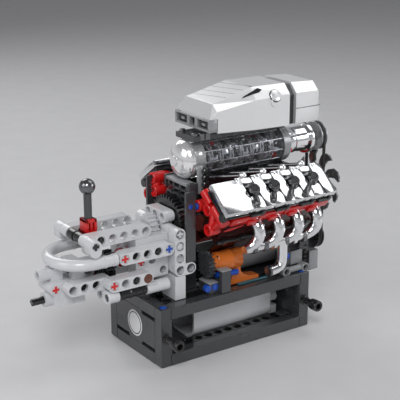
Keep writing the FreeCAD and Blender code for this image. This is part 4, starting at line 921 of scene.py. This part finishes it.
# Red and brown pins: short axle pins with cross ends and a round friction pin, pushed
# into the gearbox beams' holes, flush with the face.
brown = moulded("brown_pin", (0.13, 0.045, 0.025), 0.25)
pins = bmesh.new()
for x, y, z in ((-10, -2.98, UPPER_Z), (-11, -2.98, LOWER_Z), (-8, -1.98, 8.5)):
    crossed(pins, grid(x, y, z), 0.8, PIN_R)
turned(pins, [(0, 0), (0, 1.0), (-0.3, 1.3), (-0.3, 3.0), (0.1, 3.2), (6, 2.3), (6, 0)],
       facing(grid(-8, -2.98, LOWER_Z), INWARD), 24, 1)
doubled(pins)
crossed(pins, grid(-15, -1.08, LOWER_Z), 0.68, PIN_R)
finish("red_axle_pins", pins, [red, brown], "frame", ("gearbox_pins",))

# Blue pins: one cross-ended pin a side in the gearbox, one round pin in each of the
# base's four corner posts, and a hollow pin in each bank's rear clip.
blues = bmesh.new()
crossed(blues, grid(-6, -2.99, UPPER_Z), 0.79, PIN_R)
for side in SIDES:
    turned(blues, [(-0.15, 0), (-0.15, 2.0), (0, 2.35), (7, 2.35), (7, 0)],
           facing(grid(side * POST_X, -3.5, 5), -UP), 24)
turned(blues, [(-0.3, 1.1), (-0.4, 1.4), (-0.4, 2.1), (0, 2.4), (4, 2.4), (4, 1.1)],
       Matrix.Translation(bank(-3.02, 1.7, 5.9)), 24)
doubled(blues)
finish("blue_axle_pins", blues, [blue], "frame", ("blue_pins",))

# U tube: a smooth light grey hose round the gearbox's tail, with collars at its ends.
# It is a bent moulding pushed over two elbows.
TUBE_R = 3.7
TURN_X = -12.3
TURN_STEPS = 18
tube = bmesh.new()
near_end = [grid(-10.55, -BEAM_Y, UPPER_Z), grid(-11.4, -BEAM_Y, UPPER_Z)]
far_end = [grid(-11.4, BEAM_Y, UPPER_Z), grid(-10.55, BEAM_Y, UPPER_Z)]
angles = [math.pi * i / TURN_STEPS for i in range(TURN_STEPS + 1)]
loop = [grid(TURN_X - BEAM_Y * math.sin(angle), -BEAM_Y * math.cos(angle), UPPER_Z) for angle in angles]
piped(tube, near_end + loop + far_end, TUBE_R, 24)
for side in SIDES:
    place = facing(grid(-11.7, BEAM_Y * side, UPPER_Z), FORWARD)
    turned(tube, [(0, 3.6), (0.2, 3.95), (1.6, 3.95), (1.9, 3.6)], place, 28)
    turned(tube, [(6.2, 3.6), (6.4, 3.95), (9.2, 3.95), (9.2, 3.0)], place, 28)
finish("u_tube", tube, [pale_grey], "frame", ("gearbox_u_tube",))

# Tail and cross shafts: black axles and rollers, a red selector ring, and grey and
# black bushes on the lever's cross shaft. Axles run in the beams' holes.
for node in ("black_axles", "roller"):
    dress(node, black, 0.1)
dress("gearbox_tail", pale_grey, 0.3)
dress("selector_ring", red, 0.2)
SHAFT_X = -12.5
bushes = bmesh.new()
for y in (-2.9, 2.0):
    turned(bushes, [(0, 2.5), (0, 3.9), (0.3, 4.0), (6.9, 4.0), (7.2, 3.7), (7.2, 2.5)],
           facing(grid(SHAFT_X, y, TOP_Z), INWARD), 28)
for y in (-0.9, 0.1):
    turned(bushes, [(0, 2.5), (0, 3.6), (6, 3.6), (6, 2.5)], facing(grid(SHAFT_X, y, TOP_Z), INWARD), 24, 1)
finish("cross_bushes", bushes, [pale_grey, black], "frame")

# Shift lever: a fluted grey rod with a burnished ball. The ball is pushed on the rod,
# which stands in the red block.
lever_grey = moulded("lever_grey", (0.085, 0.088, 0.092), 0.22, 0.02, metallic=0.4)
LEVER_X = -11.5
BALL_R = 5.1
lever = bmesh.new()
turned(lever, [(0, 0), (0, 2.5), (19.5, 2.5), (19.8, 3.1), (21.2, 3.1), (21.5, 2.3), (21.5, 0)],
       facing(grid(LEVER_X, 0, 11.9), UP), 28)
for angle in range(30, 390, 90):
    flute = 2.4 * MM * Vector((math.cos(math.radians(angle)), math.sin(math.radians(angle)), 0))
    piped(lever, [grid(LEVER_X, 0, z) + flute for z in (12.3, 14.3)], 0.5, 8)
ball = [(-BALL_R * math.cos(math.radians(angle)), BALL_R * math.sin(math.radians(angle)))
        for angle in range(0, 181, 9)]
turned(lever, ball, facing(grid(LEVER_X, 0, 14.83), UP), 40, 1)
finish("lever_rod_and_ball", lever, [lever_grey, dark_metal], "gear_lever", ("shift_lever",))

# Lever block: a red block whose window is painted shade in a darker red, with a bar across it,
# and a small ball below that moves the fork. The block turns on the cross shaft.
painted_shade_red = moulded("shaded_red", (0.22, 0.008, 0.008), 0.4)
BLOCK_X = (-11.97, -11.03)
BLOCK_Y = (-0.55, 0.55)
BLOCK_Z = (10.4, 12.3)
seat = bmesh.new()
for wall in ((BLOCK_X[0], -11.75), (-11.25, BLOCK_X[1])):
    block(seat, wall, BLOCK_Y, BLOCK_Z)
block(seat, BLOCK_X, BLOCK_Y, (12.05, BLOCK_Z[1]))
block(seat, BLOCK_X, BLOCK_Y, (BLOCK_Z[0], 11.35))
# The window's fill is painted shade in a darker red.
block(seat, (-11.87, -11.13), (-0.3, 0.45), (11.3, 12.1), 0, 1)
block(seat, (-11.6, -11.4), (-0.52, -0.3), (11.3, 12.1), 0)
turned(seat, [(0, 0), (0, 1.1), (5, 1.1), (5, 0)], facing(grid(LEVER_X, 0, 10.45), -UP), 12)
turned(seat, [(-1.5, 0), (-1.1, 1.1), (0, 1.5), (1.1, 1.1), (1.5, 0)],
       Matrix.Translation(grid(LEVER_X, 0, 9.9)), 16)
finish("lever_window_block", seat, [red, painted_shade_red], "gear_lever", ("lever_block",))
